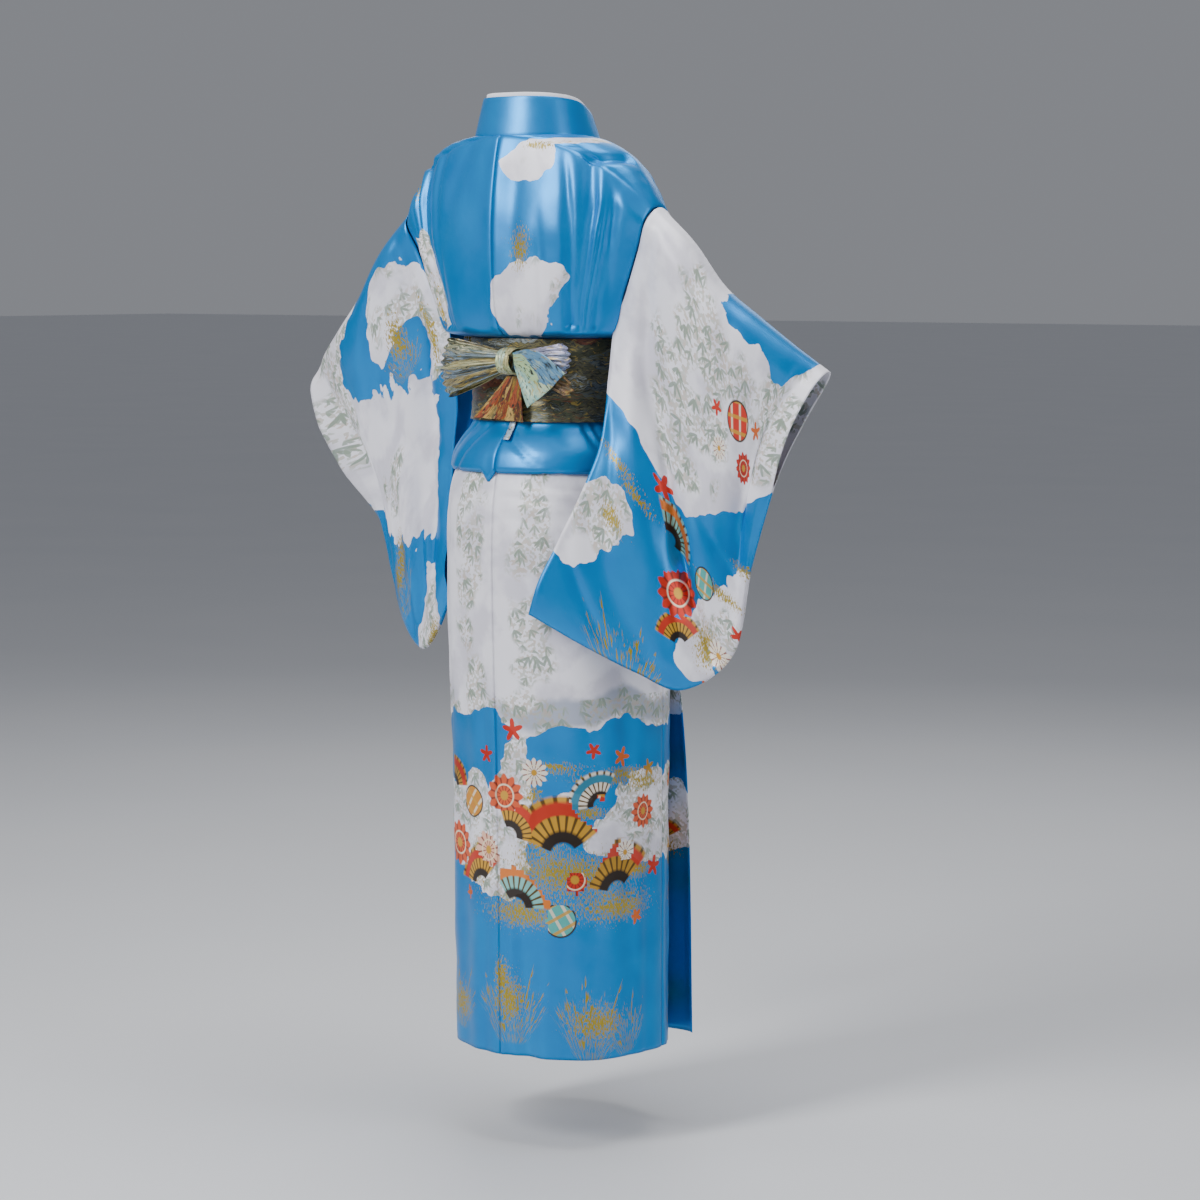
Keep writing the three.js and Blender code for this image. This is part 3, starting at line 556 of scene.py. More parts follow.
SLEEVE_PRINT = {
    "sleeve_right": {
        "edge": ((-60, 0, 60, 103, 160, 218, 280, 340), (268, 262, 270, 296, 300, 262, 224, 176)),
        "white": [(40, 405, 36, 34), (22, 440, 30, 40), (-20, 470, 26, 26), (62, 380, 26, 20),
                  (236, 420, 44, 30), (270, 380, 40, 34), (212, 470, 30, 26), (300, 330, 30, 30)],
        "blue": [(236, 0, 76, 27), (280, 24, 22, 26), (190, 14, 30, 16)],
        "gold": [(40, 330, 44, 7), (84, 344, 30, 7), (255, 355, 56, 9), (60, 396, 22, 16), (230, 440, 22, 30),
                 (300, 300, 34, 9)],
    },
    "sleeve_left": {
        "edge": ((-60, 340), (-60, -60)),
        "white": [(48, 96, 34, 34), (80, 70, 30, 34), (98, 110, 26, 26), (18, 130, 16, 50), (16, 190, 14, 36),
                  (262, 22, 64, 26), (320, 60, 50, 70), (200, 6, 40, 18), (290, 110, 34, 40),
                  (48, 330, 26, 84), (78, 314, 36, 86), (120, 284, 42, 88), (170, 250, 42, 84),
                  (220, 218, 42, 76), (270, 190, 40, 62), (318, 165, 30, 50),
                  (112, 550, 46, 44), (76, 510, 26, 34), (150, 560, 36, 28)],
        "blue": [(58, 150, 22, 20), (4, 290, 24, 50), (4, 370, 25, 60), (4, 450, 25, 60), (4, 520, 24, 60)],
        "gold": [(76, 134, 14, 36), (176, 372, 18, 34), (200, 396, 20, 22), (24, 160, 8, 60),
                 (96, 560, 40, 16)],
    },
}

# Printed motifs: kind, middle (across, along), half size, turn in degrees and shade, from 0 to 1
TUFT, FAN, FLOWER, BALL, MAPLE = range(5)
BACK_MOTIFS = [
    (FAN, -104, -985, 84, -8, 0.10), (FAN, -30, -1062, 66, 24, 0.55), (FAN, -186, -1040, 76, -14, 0.30),
    (FAN, -22, -960, 52, 40, 0.15), (FAN, -158, -915, 48, -34, 0.80), (FAN, 34, -1036, 54, -20, 0.20),
    (FLOWER, -14, -905, 33, 0, 0.15), (FLOWER, -62, -870, 22, 0, 0.80), (FLOWER, -120, -1018, 30, 10, 0.05),
    (FLOWER, 18, -985, 30, 0, 0.60), (FLOWER, -238, -930, 26, 0, 0.15), (FLOWER, -202, -985, 20, 0, 0.90),
    (BALL, -160, -905, 22, 20, 0.20), (BALL, -98, -1076, 26, -30, 0.70), (BALL, 52, -920, 24, 40, 0.45),
    (MAPLE, -196, -850, 15, 20, 0.30), (MAPLE, -148, -838, 12, -30, 0.15), (MAPLE, -250, -870, 13, 60, 0.50),
    (MAPLE, -262, -1010, 16, 10, 0.20), (MAPLE, -222, -1076, 14, -20, 0.35), (MAPLE, 20, -850, 14, 0, 0.20),
    (MAPLE, -30, -812, 17, 140, 0.12), (FLOWER, 96, -985, 34, 0, 0.20), (FAN, 112, -905, 44, 20, 0.35),
    (MAPLE, 62, -1050, 14, 30, 0.25), (BALL, 176, -960, 26, 0, 0.65), (FLOWER, 236, -930, 28, 0, 0.10),
    (TUFT, -20, -1196, 66, 0, 0.0), (TUFT, -150, -1214, 68, 8, 0.0), (TUFT, -196, -1224, 50, -10, 0.0),
    (TUFT, 96, -1200, 56, 6, 0.0), (TUFT, 214, -1216, 62, -6, 0.0),
]
FRONT_MOTIFS = [
    (FAN, 96, -930, 56, 20, 0.30), (FLOWER, 40, -890, 32, 0, 0.12), (FLOWER, 160, -985, 34, 0, 0.60),
    (BALL, 70, -1010, 24, 20, 0.20), (FAN, 205, -910, 46, -20, 0.55), (MAPLE, 130, -1050, 15, 0, 0.25),
    (MAPLE, 240, -990, 14, 40, 0.40), (TUFT, 90, -1236, 58, 0, 0.0), (TUFT, 220, -1240, 60, 6, 0.0),
]
SLEEVE_MOTIFS = {
    "sleeve_right": [
        (BALL, 226, 132, 26, 20, 0.20), (FLOWER, 258, 178, 21, 0, 0.10), (FLOWER, 196, 186, 17, 0, 0.75),
        (MAPLE, 268, 122, 12, 30, 0.30), (MAPLE, 178, 140, 11, -20, 0.15),
        (FAN, 132, 352, 46, -34, 0.50), (FLOWER, 168, 402, 34, 0, 0.05), (FAN, 190, 462, 42, 30, 0.20),
        (BALL, 214, 362, 22, 0, 0.60), (FLOWER, 252, 440, 22, 0, 0.85), (MAPLE, 112, 300, 15, 150, 0.10),
        (MAPLE, 236, 500, 15, 20, 0.30), (TUFT, 118, 530, 60, 10, 0.0), (MAPLE, 284, 396, 14, -30, 0.20),
    ],
    "sleeve_left": [(TUFT, 186, 414, 52, 0, 0.0), (TUFT, 80, 158, 36, 0, 0.0)],
}


SLEEVE_DEPTHS = (0, 0.011, 0.043, 0.105, 0.16, 0.213, 0.29, 0.38, 0.485, 0.58, 0.67, 0.76, 0.85, 0.94, 1)
COLLAR_THICKNESS = 2.2
FOLD_STRENGTH = 1.5
TUCK_STRENGTH = 1.7
BLOUSE_SAG = 10.0
STRIP_INSET = 2.85

# The bow. Loops run from the knot to their far end; the print gives patch size and stretch.
KNOT = {
    "centre": (-17, 106.4, -304), "half_length": 13, "half_depth": 18.8, "half_height": 17,
    "colours": ("#C9D6A6", "#B7C795", "#D9DCC0", "#8D9660", "#C7B98A", "#9FB7A0"),
    "print": (0.02, (1.0, 0.5)), "flat": (0.030, 0.108),
}
BOW_LOOPS = [
    {"node": "bow_loop_left", "near": (-15, 106, -304), "far": (104, 104, -316), "near_height": 22,
     "far_height": 82, "gap": 13, "pleats": 3, "pleat": 3.5, "fine_pleats": 8, "fine": 1.5,
     "cloth_width": 130,
     "colours": ("#2C2F2C", "#6E6F45", "#B3A061", "#3E4A58", "#D8D3B4", "#55603F", "#8DA3B5", "#2F3430",
                 "#A38C40", "#C6C59A", "#3B3F33"),
     "print": (0.026, (0.3, 1.5)), "flat": (0.086, 0.250)},
    {"node": "bow_loop_right", "near": (-21, 105, -300), "far": (-112, 99, -300), "near_height": 16,
     "far_height": 42, "gap": 8, "pleats": 1, "pleat": 2.0, "fine_pleats": 5, "fine": 0.8, "cloth_width": 70,
     "colours": ("#4D5A78", "#93A7CE", "#2E3440", "#B9B6D4", "#6D7F95", "#D9C39A"),
     "print": (0.02, (0.35, 1.6)), "flat": (0.042, 0.190)},
    {"node": "bow_loop_low", "near": (-22, 104, -312.5), "far": (-114, 94, -341), "near_height": 5,
     "far_height": 24, "gap": 5, "pleats": 0, "pleat": 0.0, "fine_pleats": 3, "fine": 0.5, "cloth_width": 40,
     "colours": ("#B98248", "#2F2A24", "#D8A972", "#6A4A2E", "#54604F"),
     "print": (0.014, (0.6, 1.2)), "flat": (0.020, 0.190)},
]
BOW_TAILS = [
    {"node": "bow_tail_point", "near_top": (-31.5, 120, -292), "near_bottom": (-31.5, 117, -312),
     "far_top": (-118, 110, -319), "far_bottom": (-52, 108, -367), "lift": (0, 3, 16),
     "wave": 3, "waves": 1, "fine": 0.5, "fine_waves": 3, "cloth_width": 80,
     "colours": ("#B4CBA4", "#A9C48F", "#4FA5CB", "#8FBFB4", "#C6D3AC", "#5B8DB0"),
     "print": (0.034, (0.5, 0.9)), "flat": (0.058, 0.090)},
    {"node": "bow_tail_wide", "near_top": (-6, 101, -324.5), "near_bottom": (-29, 101, -324.5),
     "far_top": (64, 83.5, -384), "far_bottom": (-32, 93, -388), "lift": (0, -3, 0),
     "wave": 2.5, "waves": 3, "fine": 0.6, "fine_waves": 8, "cloth_width": 120,
     "colours": ("#6B5230", "#A98636", "#7E2A1E", "#3B3226", "#B5522E", "#54583A", "#C9A25A"),
     "print": (0.016, (0.6, 1.1)), "flat": (0.068, 0.074)},
]
BAND_COLOURS = ("#3C4038", "#4F5138", "#2B302F", "#5D6A74", "#6B6840", "#393E45", "#8B8352", "#4C4B3A",
                "#A9B4B5", "#2F3430", "#596048", "#7B4634")
TIE_END = {"top": -378.0, "bottom": -412.0, "middle": -5.0, "width": 10.0, "stand": 4.0}

# Where the leaf sprays are printed on the sleeves, and the print of the overlaps
SLEEVE_SPRAYS = {
    "sleeve_right": [
        (110, 70, 44, 40), (150, 130, 60, 60), (96, 160, 40, 50), (210, 90, 40, 34), (126, 230, 50, 50),
        (310, 60, 40, 50), (312, 130, 30, 60), (180, 220, 30, 40), (44, 400, 50, 60), (250, 410, 50, 60),
        (120, 30, 30, 30),
    ],
    "sleeve_left": [
        (70, 90, 50, 60), (20, 190, 20, 70), (250, 40, 90, 40), (300, 110, 60, 60), (170, 270, 50, 40),
        (90, 530, 60, 50),
    ],
}
OVERLAP_CLOUDS = [(330, -930, 60, 46), (380, -970, 50, 40), (300, -990, 30, 40)]
OVERLAP_GOLD = [(330, -890, 50, 14), (360, -1010, 40, 14)]
OVERLAP_MOTIFS = [
    (FLOWER, 350, -925, 28, 0, 0.1), (MAPLE, 316, -985, 16, 20, 0.3), (FAN, 372, -1000, 34, 10, 0.4),
]
SKIRT_SPRAYS = ((-62, 46, 0.8), (48, 40, 0.8), (-200, 50, 0.5), (190, 60, 0.5))

# The printed satin: its name, the tints of the motifs by shade, and how often each motif repeats its parts
SATIN = "printed_polyester_satin"
MOTIF_TINTS = {
    "fan": ((0, "#C9962F"), (0.25, "#B98A2C"), (0.5, "#7FC2BC"), (0.75, "#E4DCCB")),
    "band": ((0, "#C23420"), (0.25, "#C23420"), (0.5, "#D9772E"), (0.75, "#2F7F9C")),
    "flower": ((0, "#C7301F"), (0.14, "#D4582F"), (0.4, "#E9B9A0"), (0.72, "#EDE6DA")),
    "ball": ((0, "#C7301F"), (0.3, "#C9862F"), (0.55, "#55AFA9"), (0.8, "#E7DFD2")),
    "maple": ((0, "#C7301F"), (0.22, "#D4672B"), (0.38, "#B98A2C"), (0.6, "#6E8F5C")),
}
FAN_RIBS, PETALS, LOBES = 26, 12, 5

# Its sizes in metres: cloud billows, their ragged edge, the mottle, spray clusters, flecks and the weave
BILLOW, RAGGED, MOTTLE, CLUSTER, FLECK, THREAD = 0.021, 0.012, 0.07, 0.05, 0.0034, 0.0009

# Leaves of a spray: pitch, half length and width, least turn, spread of turns, offset and colour
LEAVES = (
    (0.031, (0.0105, 0.0022), 0.9, 1.35, (0.0, 0.0, 0.0), "#7F9183"),
    (0.023, (0.0078, 0.0016), 0.7, 1.7, (0.31, 0.17, 0.0), "#8C9B8B"),
)
SIDE_LEAF_LEAN = 0.62

# Faces along and across each piece, and how thick its cloth is drawn in millimetres
OVERLAP_COLUMNS, OVERLAP_WIDTH = 16, 125
COLLAR_COLUMNS, COLLAR_PITCH = 10, 6.0
BELT_FACES, LOOP_FACES, KNOT_FACES, TAIL_FACES = (230, 30), (110, 56), (72, 26), (48, 44)
STRIP_THICKNESS, BELT_THICKNESS, TIE_THICKNESS, BOW_THICKNESS, KNOT_THICKNESS = 1.2, 1.6, 0.6, 0.9, 1.0
EDGE_BEVEL, EDGE_ANGLE = 0.38, 60

# Where the belt, a loop and the knot close: degrees, then how much of a turn in radians stays open
BELT_CLOSES, LOOP_OPEN, KNOT_OPEN = 179.9, 0.02, 0.01
LOOP_NECK_GAP = 5
TIE_DRIFT, TIE_CURL = 3.0, 0.5

# Depth and width of the dimple along each seam, heights of the slow waves, and where the blouse sags
SEAM_DIMPLE, SEAM_DIMPLE_WIDTH, SLEEVE_DIMPLE, SLEEVE_DIMPLE_WIDTH = 1.2, 2.4, 1.0, 2.6
BODY_WAVES, SLEEVE_WAVES, BELT_WAVES = 1.5, 1.9, 0.5
WAVE_LENGTHS, WAVE_STRETCH = (150, 110, 84, 62, 47), 2.3
SAG_BAND = (212, 250)
NOWHERE = 9999.0

# Where folds end, in rows down from the belt's top: the blouse, the tuck's start and end, its corner's
# start and end and the skirt; then in millimetres from the shoulder, and how soft the mist's edges are
BLOUSE_ENDS, SKIRT_STARTS = 0.5, 12.2
TUCK_STARTS, TUCK_ENDS, CORNER_STARTS, CORNER_ENDS = (3, 3.6), (8, 8.6), (5.5, 7.5), (9.5, 11)
SHOULDER_FADE = (6, 75)
MIST_EDGE, SLEEVE_MIST_EDGE = 24, 18
SKIRT_WAVE, SKIRT_RIPPLE, OVERLAP_LINE_WAVE = 10, 6, 12
OVERLAP_SKIRT, OVERLAP_STILL = 210, -500
STRIP_REACH, STRIP_RISE, STRIP_COLUMNS = 0.22, (-24, 6), 8
COLLAR_SPRING, COLLAR_SPRING_LENGTH = 0.5, 31

# The stage: a light's name, metres to the camera's right, metres toward it, height, size and power
STUDIO_LIGHTS = [
    ("key", -2.3, 1.9, 1.4, (0.8, 2.2), 132),
    ("fill", 2.8, 2.2, 0.4, (1.2, 2.2), 36),
    ("top", 0.4, 0.3, 2.3, (1.6, 1.6), 58),
    ("back", 0.6, -3.0, 1.6, (3.0, 2.0), 40),
]
CAMERA_ASIDE = 0.072
CAMERA_HEIGHT = -0.178
FLOOR_SIZE = 120
LIGHTS_AIM = (0, 0, -0.6)
SKY_COLOUR, SKY_STRENGTH = "#C9CCD4", 0.4


def patches(table, across, along):
    """Soft patches: 0.5 at their edges, 1 in their middles."""
    rest = np.ones(np.broadcast(across, along).shape)
    for middle, height, half_wide, half_high in table:
        inside = ((across - middle) / half_wide) ** 2 + ((along - height) / half_high) ** 2
        rest = rest * (1 - np.exp2(-inside))
    return 1 - rest


def rumple(across, along, seed, height=0.9):
    """Slow waves of a few tenths of a millimetre, as in any hanging satin."""
    rng = np.random.default_rng(seed)
    total = np.zeros(np.broadcast(across, along).shape)
    for length in WAVE_LENGTHS:
        direction = rng.uniform(0, math.pi)
        phase = rng.uniform(0, 2 * math.pi, 2)
        run = across * math.cos(direction) + along * math.sin(direction)
        cross = along * math.cos(direction) - across * math.sin(direction)
        total += (length / WAVE_LENGTHS[0]) * np.sin(2 * math.pi * run / length + phase[0]) * np.sin(
            2 * math.pi * cross / (WAVE_STRETCH * length) + phase[1])
    return height * total / 2


def sheet_object(name, grid, cloth, thickness, fields=None, soften=False):
    """A thin shell on a grid of points in millimetres, with its cloth coordinates and print."""
    rows, columns = grid.shape[:2]
    faces = face_corners(np.arange(rows * columns).reshape(rows, columns))
    mesh = bpy.data.meshes.new(name)
    mesh.from_pydata((grid.reshape(-1, 3) * MM).tolist(), [], faces.tolist())
    loops = np.empty(len(mesh.loops), np.int32)
    mesh.loops.foreach_get("vertex_index", loops)
    layer = mesh.uv_layers.new(name="cloth")
    layer.data.foreach_set("uv", (cloth.reshape(-1, 2)[loops] * MM).astype(np.float32).ravel())
    for key, values in (fields or {}).items():
        domain = "CORNER" if key.startswith("motif") else "POINT"
        kind, store = ("FLOAT_VECTOR", "vector") if key == "motif_place" else ("FLOAT", "value")
        attribute = mesh.attributes.new(key, kind, domain)
        attribute.data.foreach_set(store, values.astype(np.float32).ravel())
    piece = bpy.data.objects.new(name, mesh)
    bpy.context.scene.collection.objects.link(piece)
    bpy.ops.object.select_all(action="DESELECT")
    piece.select_set(True)
    bpy.context.view_layer.objects.active = piece
    shell = piece.modifiers.new("shell", "SOLIDIFY")
    shell.thickness = thickness * MM
    shell.offset = 0
    shell.use_quality_normals = True
    bpy.ops.object.modifier_apply(modifier=shell.name)
    if soften:
        edge = piece.modifiers.new("edge", "BEVEL")
        edge.width = EDGE_BEVEL * thickness * MM
        edge.segments = 2
        edge.limit_method = "ANGLE"
        edge.angle_limit = math.radians(EDGE_ANGLE)
        bpy.ops.object.modifier_apply(modifier=edge.name)
    bpy.ops.object.shade_smooth()
    if enclosed_volume(piece.data) < 0:
        piece.data.flip_normals()
    return piece


def enclosed_volume(mesh):
    """The volume inside a closed mesh, negative where its faces point inwards."""
    mesh.calc_loop_triangles()
    points = np.empty(len(mesh.vertices) * 3)
    mesh.vertices.foreach_get("co", points)
    corners = np.empty(len(mesh.loop_triangles) * 3, np.int32)
    mesh.loop_triangles.foreach_get("vertices", corners)
    a, b, c = points.reshape(-1, 3)[corners.reshape(-1, 3)].transpose(1, 0, 2)
    return float(np.einsum("ij,ij->", a, np.cross(b, c)) / 6)


def finish_piece(piece, node, material):
    """Gives a sheet its cloth and its place on the part; node is the solid that it replaces, if any."""
    piece.data.materials.append(material)
    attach(piece, "root")
    if node:
        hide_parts(node)


# Materials

def linear(colour):
    """The linear value of an sRGB hex colour."""
    parts = [int(colour[i:i + 2], 16) / 255 for i in (1, 3, 5)]
    return tuple(p / 12.92 if p <= 0.04045 else ((p + 0.055) / 1.055) ** 2.4 for p in parts) + (1.0,)


def put(tree, kind, *values, out=0, ramp=None, **named):
    """Adds a node, whose kind may end in its operation, and gives one of its outputs. Values and links
    go to its inputs in order or by name, other names are settings, and a ramp has its mode and stops."""
    kind, _, operation = kind.partition(".")
    node = tree.nodes.new("ShaderNode" + kind)
    if operation:
        node.operation = operation
    given = dict(enumerate(values))
    for name, value in named.items():
        if name.replace("_", " ") in node.inputs:
            given[name.replace("_", " ")] = value
        else:
            setattr(node, name, value)
    if ramp:
        node.color_ramp.interpolation = ramp[0]
        for i, (at, colour) in enumerate(ramp[1]):
            stop = node.color_ramp.elements[i] if i < 2 else node.color_ramp.elements.new(at)
            stop.position, stop.color = at, linear(colour)
    shown = [socket for socket in node.inputs if socket.enabled]
    for key, value in given.items():
        socket = shown[key] if isinstance(key, int) else node.inputs[key]
        if isinstance(value, bpy.types.NodeSocket):
            tree.links.new(value, socket)
        else:
            socket.default_value = value
    outputs = [socket for socket in node.outputs if socket.enabled]
    return outputs[out] if outputs else None


def new_material(name):
    """A material without nodes, and its node tree."""
    material = bpy.data.materials.new(name)
    material.use_nodes = True
    tree = material.node_tree
    tree.nodes.clear()
    return material, tree


def printed(tree, ground, *layers):
    """Colours printed over a ground, each where its mask is 1."""
    for mask, tint in layers:
        tint = linear(tint) if isinstance(tint, str) else tint
        ground = put(tree, "Mix", mask, ground, tint, data_type="RGBA")
    return ground


def inked(tree, *limits):
    """A mask, 1 where every value is past its limits: value, start, end, mask at start and at end."""
    total = None
    for value, start, end, first, last in limits:
        mask = put(tree, "MapRange", value, start, end, float(first), float(last))
        total = mask if total is None else put(tree, "Math.MULTIPLY", total, mask)
    return total


def leaf_layer(tree, cloth, pitch, size, base, spread, offset):
    """Single narrow leaves and side leaves, one sprig to a cell of the given pitch (metres)."""
    moved = put(tree, "VectorMath.ADD", cloth, offset)
    chance = put(tree, "TexVoronoi", moved, Scale=1 / pitch, voronoi_dimensions="2D", out=1)
    local = put(tree, "VectorMath.SUBTRACT", moved, chance.node.outputs["Position"])
    angle = put(tree, "Math.MULTIPLY_ADD", put(tree, "SeparateXYZ", chance), spread, base)
    turned = put(tree, "VectorRotate", local, Angle=angle, rotation_type="Z_AXIS")
    x = put(tree, "SeparateXYZ", turned)
    y = put(tree, "Math.ABSOLUTE", put(tree, "SeparateXYZ", turned, out=1))
    total = 0.0
    for lean in (0.0, SIDE_LEAF_LEAN):
        cos, sin = math.cos(lean), math.sin(lean)
        along = put(tree, "Math.MULTIPLY_ADD", y, sin, put(tree, "Math.MULTIPLY", x, cos))
        aside = put(tree, "Math.MULTIPLY_ADD", x, -sin, put(tree, "Math.MULTIPLY", y, cos))
        forward = put(tree, "Math.MULTIPLY_ADD", along, 1 / size[0], -0.9)
        length = put(tree, "Math.MULTIPLY", forward, forward)
        width = put(tree, "Math.MULTIPLY_ADD", put(tree, "Math.ABSOLUTE", aside), 1 / size[1], length)
        total = put(tree, "Math.MAXIMUM", total, inked(tree, (width, 0.8, 1.05, 1, 0)))
    return total


def motif_layers(tree):
    """Masks and colours of the printed motifs, in each motif's own coordinates."""
    place = put(tree, "Attribute", out=1, attribute_name="motif_place")
    inside, kind = (put(tree, "Attribute", out=2, attribute_name=name)
                    for name in ("motif_inside", "motif_kind"))
    x, y, shade = (put(tree, "SeparateXYZ", place, out=i) for i in range(3))
    radius = put(tree, "Math.SQRT", put(tree, "Math.MULTIPLY_ADD", x, x, put(tree, "Math.MULTIPLY", y, y)))
    angle = put(tree, "Math.ARCTAN2", x, y)
    ripple = {count: put(tree, "Math.COSINE", put(tree, "Math.MULTIPLY", angle, float(count)))
              for count in (FAN_RIBS, PETALS, LOBES)}
    tints = {name: put(tree, "ValToRGB", shade, ramp=("CONSTANT", stops))
             for name, stops in MOTIF_TINTS.items()}
    allowed = put(tree, "Math.GREATER_THAN", inside, 0.02)
    layers = {}

    # Folding fan: a sector with ribs, a coloured band and a dark handle
    spread = put(tree, "Math.ABSOLUTE", angle)
    sector = inked(tree, (spread, 1.09, 1.15, 1, 0), (radius, 0.97, 1.03, 1, 0), (radius, 0.2, 0.24, 0, 1))
    layers[FAN] = sector, printed(
        tree, tints["fan"],
        (inked(tree, (ripple[FAN_RIBS], 0.2, 0.8, 0, 1)), "#5C4318"),
        (inked(tree, (radius, 0.66, 0.69, 0, 1), (radius, 0.87, 0.93, 1, 0)), tints["band"]),
        (inked(tree, (radius, 0.39, 0.45, 1, 0)), "#2B211B"))

    # Many-petalled flower with a pale ring and a gold eye
    edge = put(tree, "Math.SUBTRACT", radius, put(tree, "Math.MULTIPLY_ADD", ripple[PETALS], 0.09, 0.86))
    layers[FLOWER] = inked(tree, (edge, -0.03, 0.03, 1, 0)), printed(
        tree, tints["flower"],
        (inked(tree, (ripple[PETALS], -1.0, -0.45, 1, 0)), "#7C2A1C"),
        (inked(tree, (radius, 0.42, 0.45, 0, 1), (radius, 0.47, 0.53, 1, 0)), "#F0DDBE"),
        (inked(tree, (radius, 0.17, 0.23, 1, 0)), "#C9962F"))

    # Thread ball: crossing bands on a disc
    bands = [inked(tree, (put(tree, "Math.SINE", put(tree, "Math.MULTIPLY", axis, 9.0)), 0.62, 0.8, 0, 0.85))
             for axis in (x, y)]
    layers[BALL] = inked(tree, (radius, 0.92, 0.98, 1, 0)), printed(
        tree, tints["ball"], (bands[0], "#E8DCC2"), (bands[1], "#C9962F"),
        (inked(tree, (radius, 0.84, 0.88, 0, 1)), "#3A2A20"))

    # Five-lobed leaf
    lobed = put(tree, "Math.POWER", put(tree, "Math.MULTIPLY_ADD", ripple[LOBES], 0.5, 0.5), 1.1)
    edge = put(tree, "Math.SUBTRACT", radius, put(tree, "Math.MULTIPLY_ADD", lobed, 0.62, 0.38))
    layers[MAPLE] = inked(tree, (edge, -0.03, 0.03, 1, 0)), tints["maple"]

    # Grass tuft: fine blades that rise from the foot of the motif and fan out
    foot = put(tree, "Math.ADD", y, 0.95)
    blade = put(tree, "Math.DIVIDE", x, put(tree, "Math.ADD", foot, 0.35))
    reach = put(tree, "TexNoise", put(tree, "CombineXYZ", blade), Scale=9.0, Detail=2.0)
    risen = put(tree, "CombineXYZ", blade, put(tree, "Math.MULTIPLY", foot, 0.12))
    comb = put(tree, "TexNoise", risen, Scale=34.0, Detail=1.0)
    height = put(tree, "Math.MULTIPLY_ADD", blade, blade, foot)
    height = put(tree, "Math.SUBTRACT", height, put(tree, "Math.MULTIPLY_ADD", reach, 2.6, 0.1))
    sides = put(tree, "Math.ABSOLUTE", blade)
    layers[TUFT] = inked(tree, (comb, 0.53, 0.6, 0, 1), (height, -0.08, 0.08, 1, 0),
                         (sides, 0.65, 0.85, 1, 0), (foot, 0.0, 0.1, 0, 1)), "#A08D22"

    for number, (mask, tint) in layers.items():
        same = put(tree, "Math.COMPARE", kind, float(number), 0.4)
        mask = put(tree, "Math.MULTIPLY", mask, same)
        yield put(tree, "Math.MULTIPLY", mask, allowed), tint


def satin_shader(tree, colour, cloth, roughness, metallic=0.3, weave=0.12):
    """Polyester satin: a soft, broad gloss over a very fine weave, drawn at 0.9 mm so that it shows."""
    stretched = put(tree, "VectorMath.MULTIPLY", cloth, (1 / THREAD, 0.22 / THREAD, 1.0))
    grain = put(tree, "TexNoise", stretched, Scale=1.0, Detail=1.0, noise_dimensions="2D")
    soft = put(tree, "TexNoise", cloth, Scale=26.0, Detail=3.0, noise_dimensions="2D")
    height = put(tree, "Math.MULTIPLY_ADD", soft, 7.0, grain)
    bump = put(tree, "Bump", Strength=weave, Distance=0.0004, Height=height)
    surface = put(tree, "BsdfPrincipled", Base_Color=colour, Normal=bump, Roughness=roughness,
                  Metallic=metallic, Specular_IOR_Level=0.5, Sheen_Weight=0.02, Sheen_Roughness=0.35)
    put(tree, "OutputMaterial", surface)


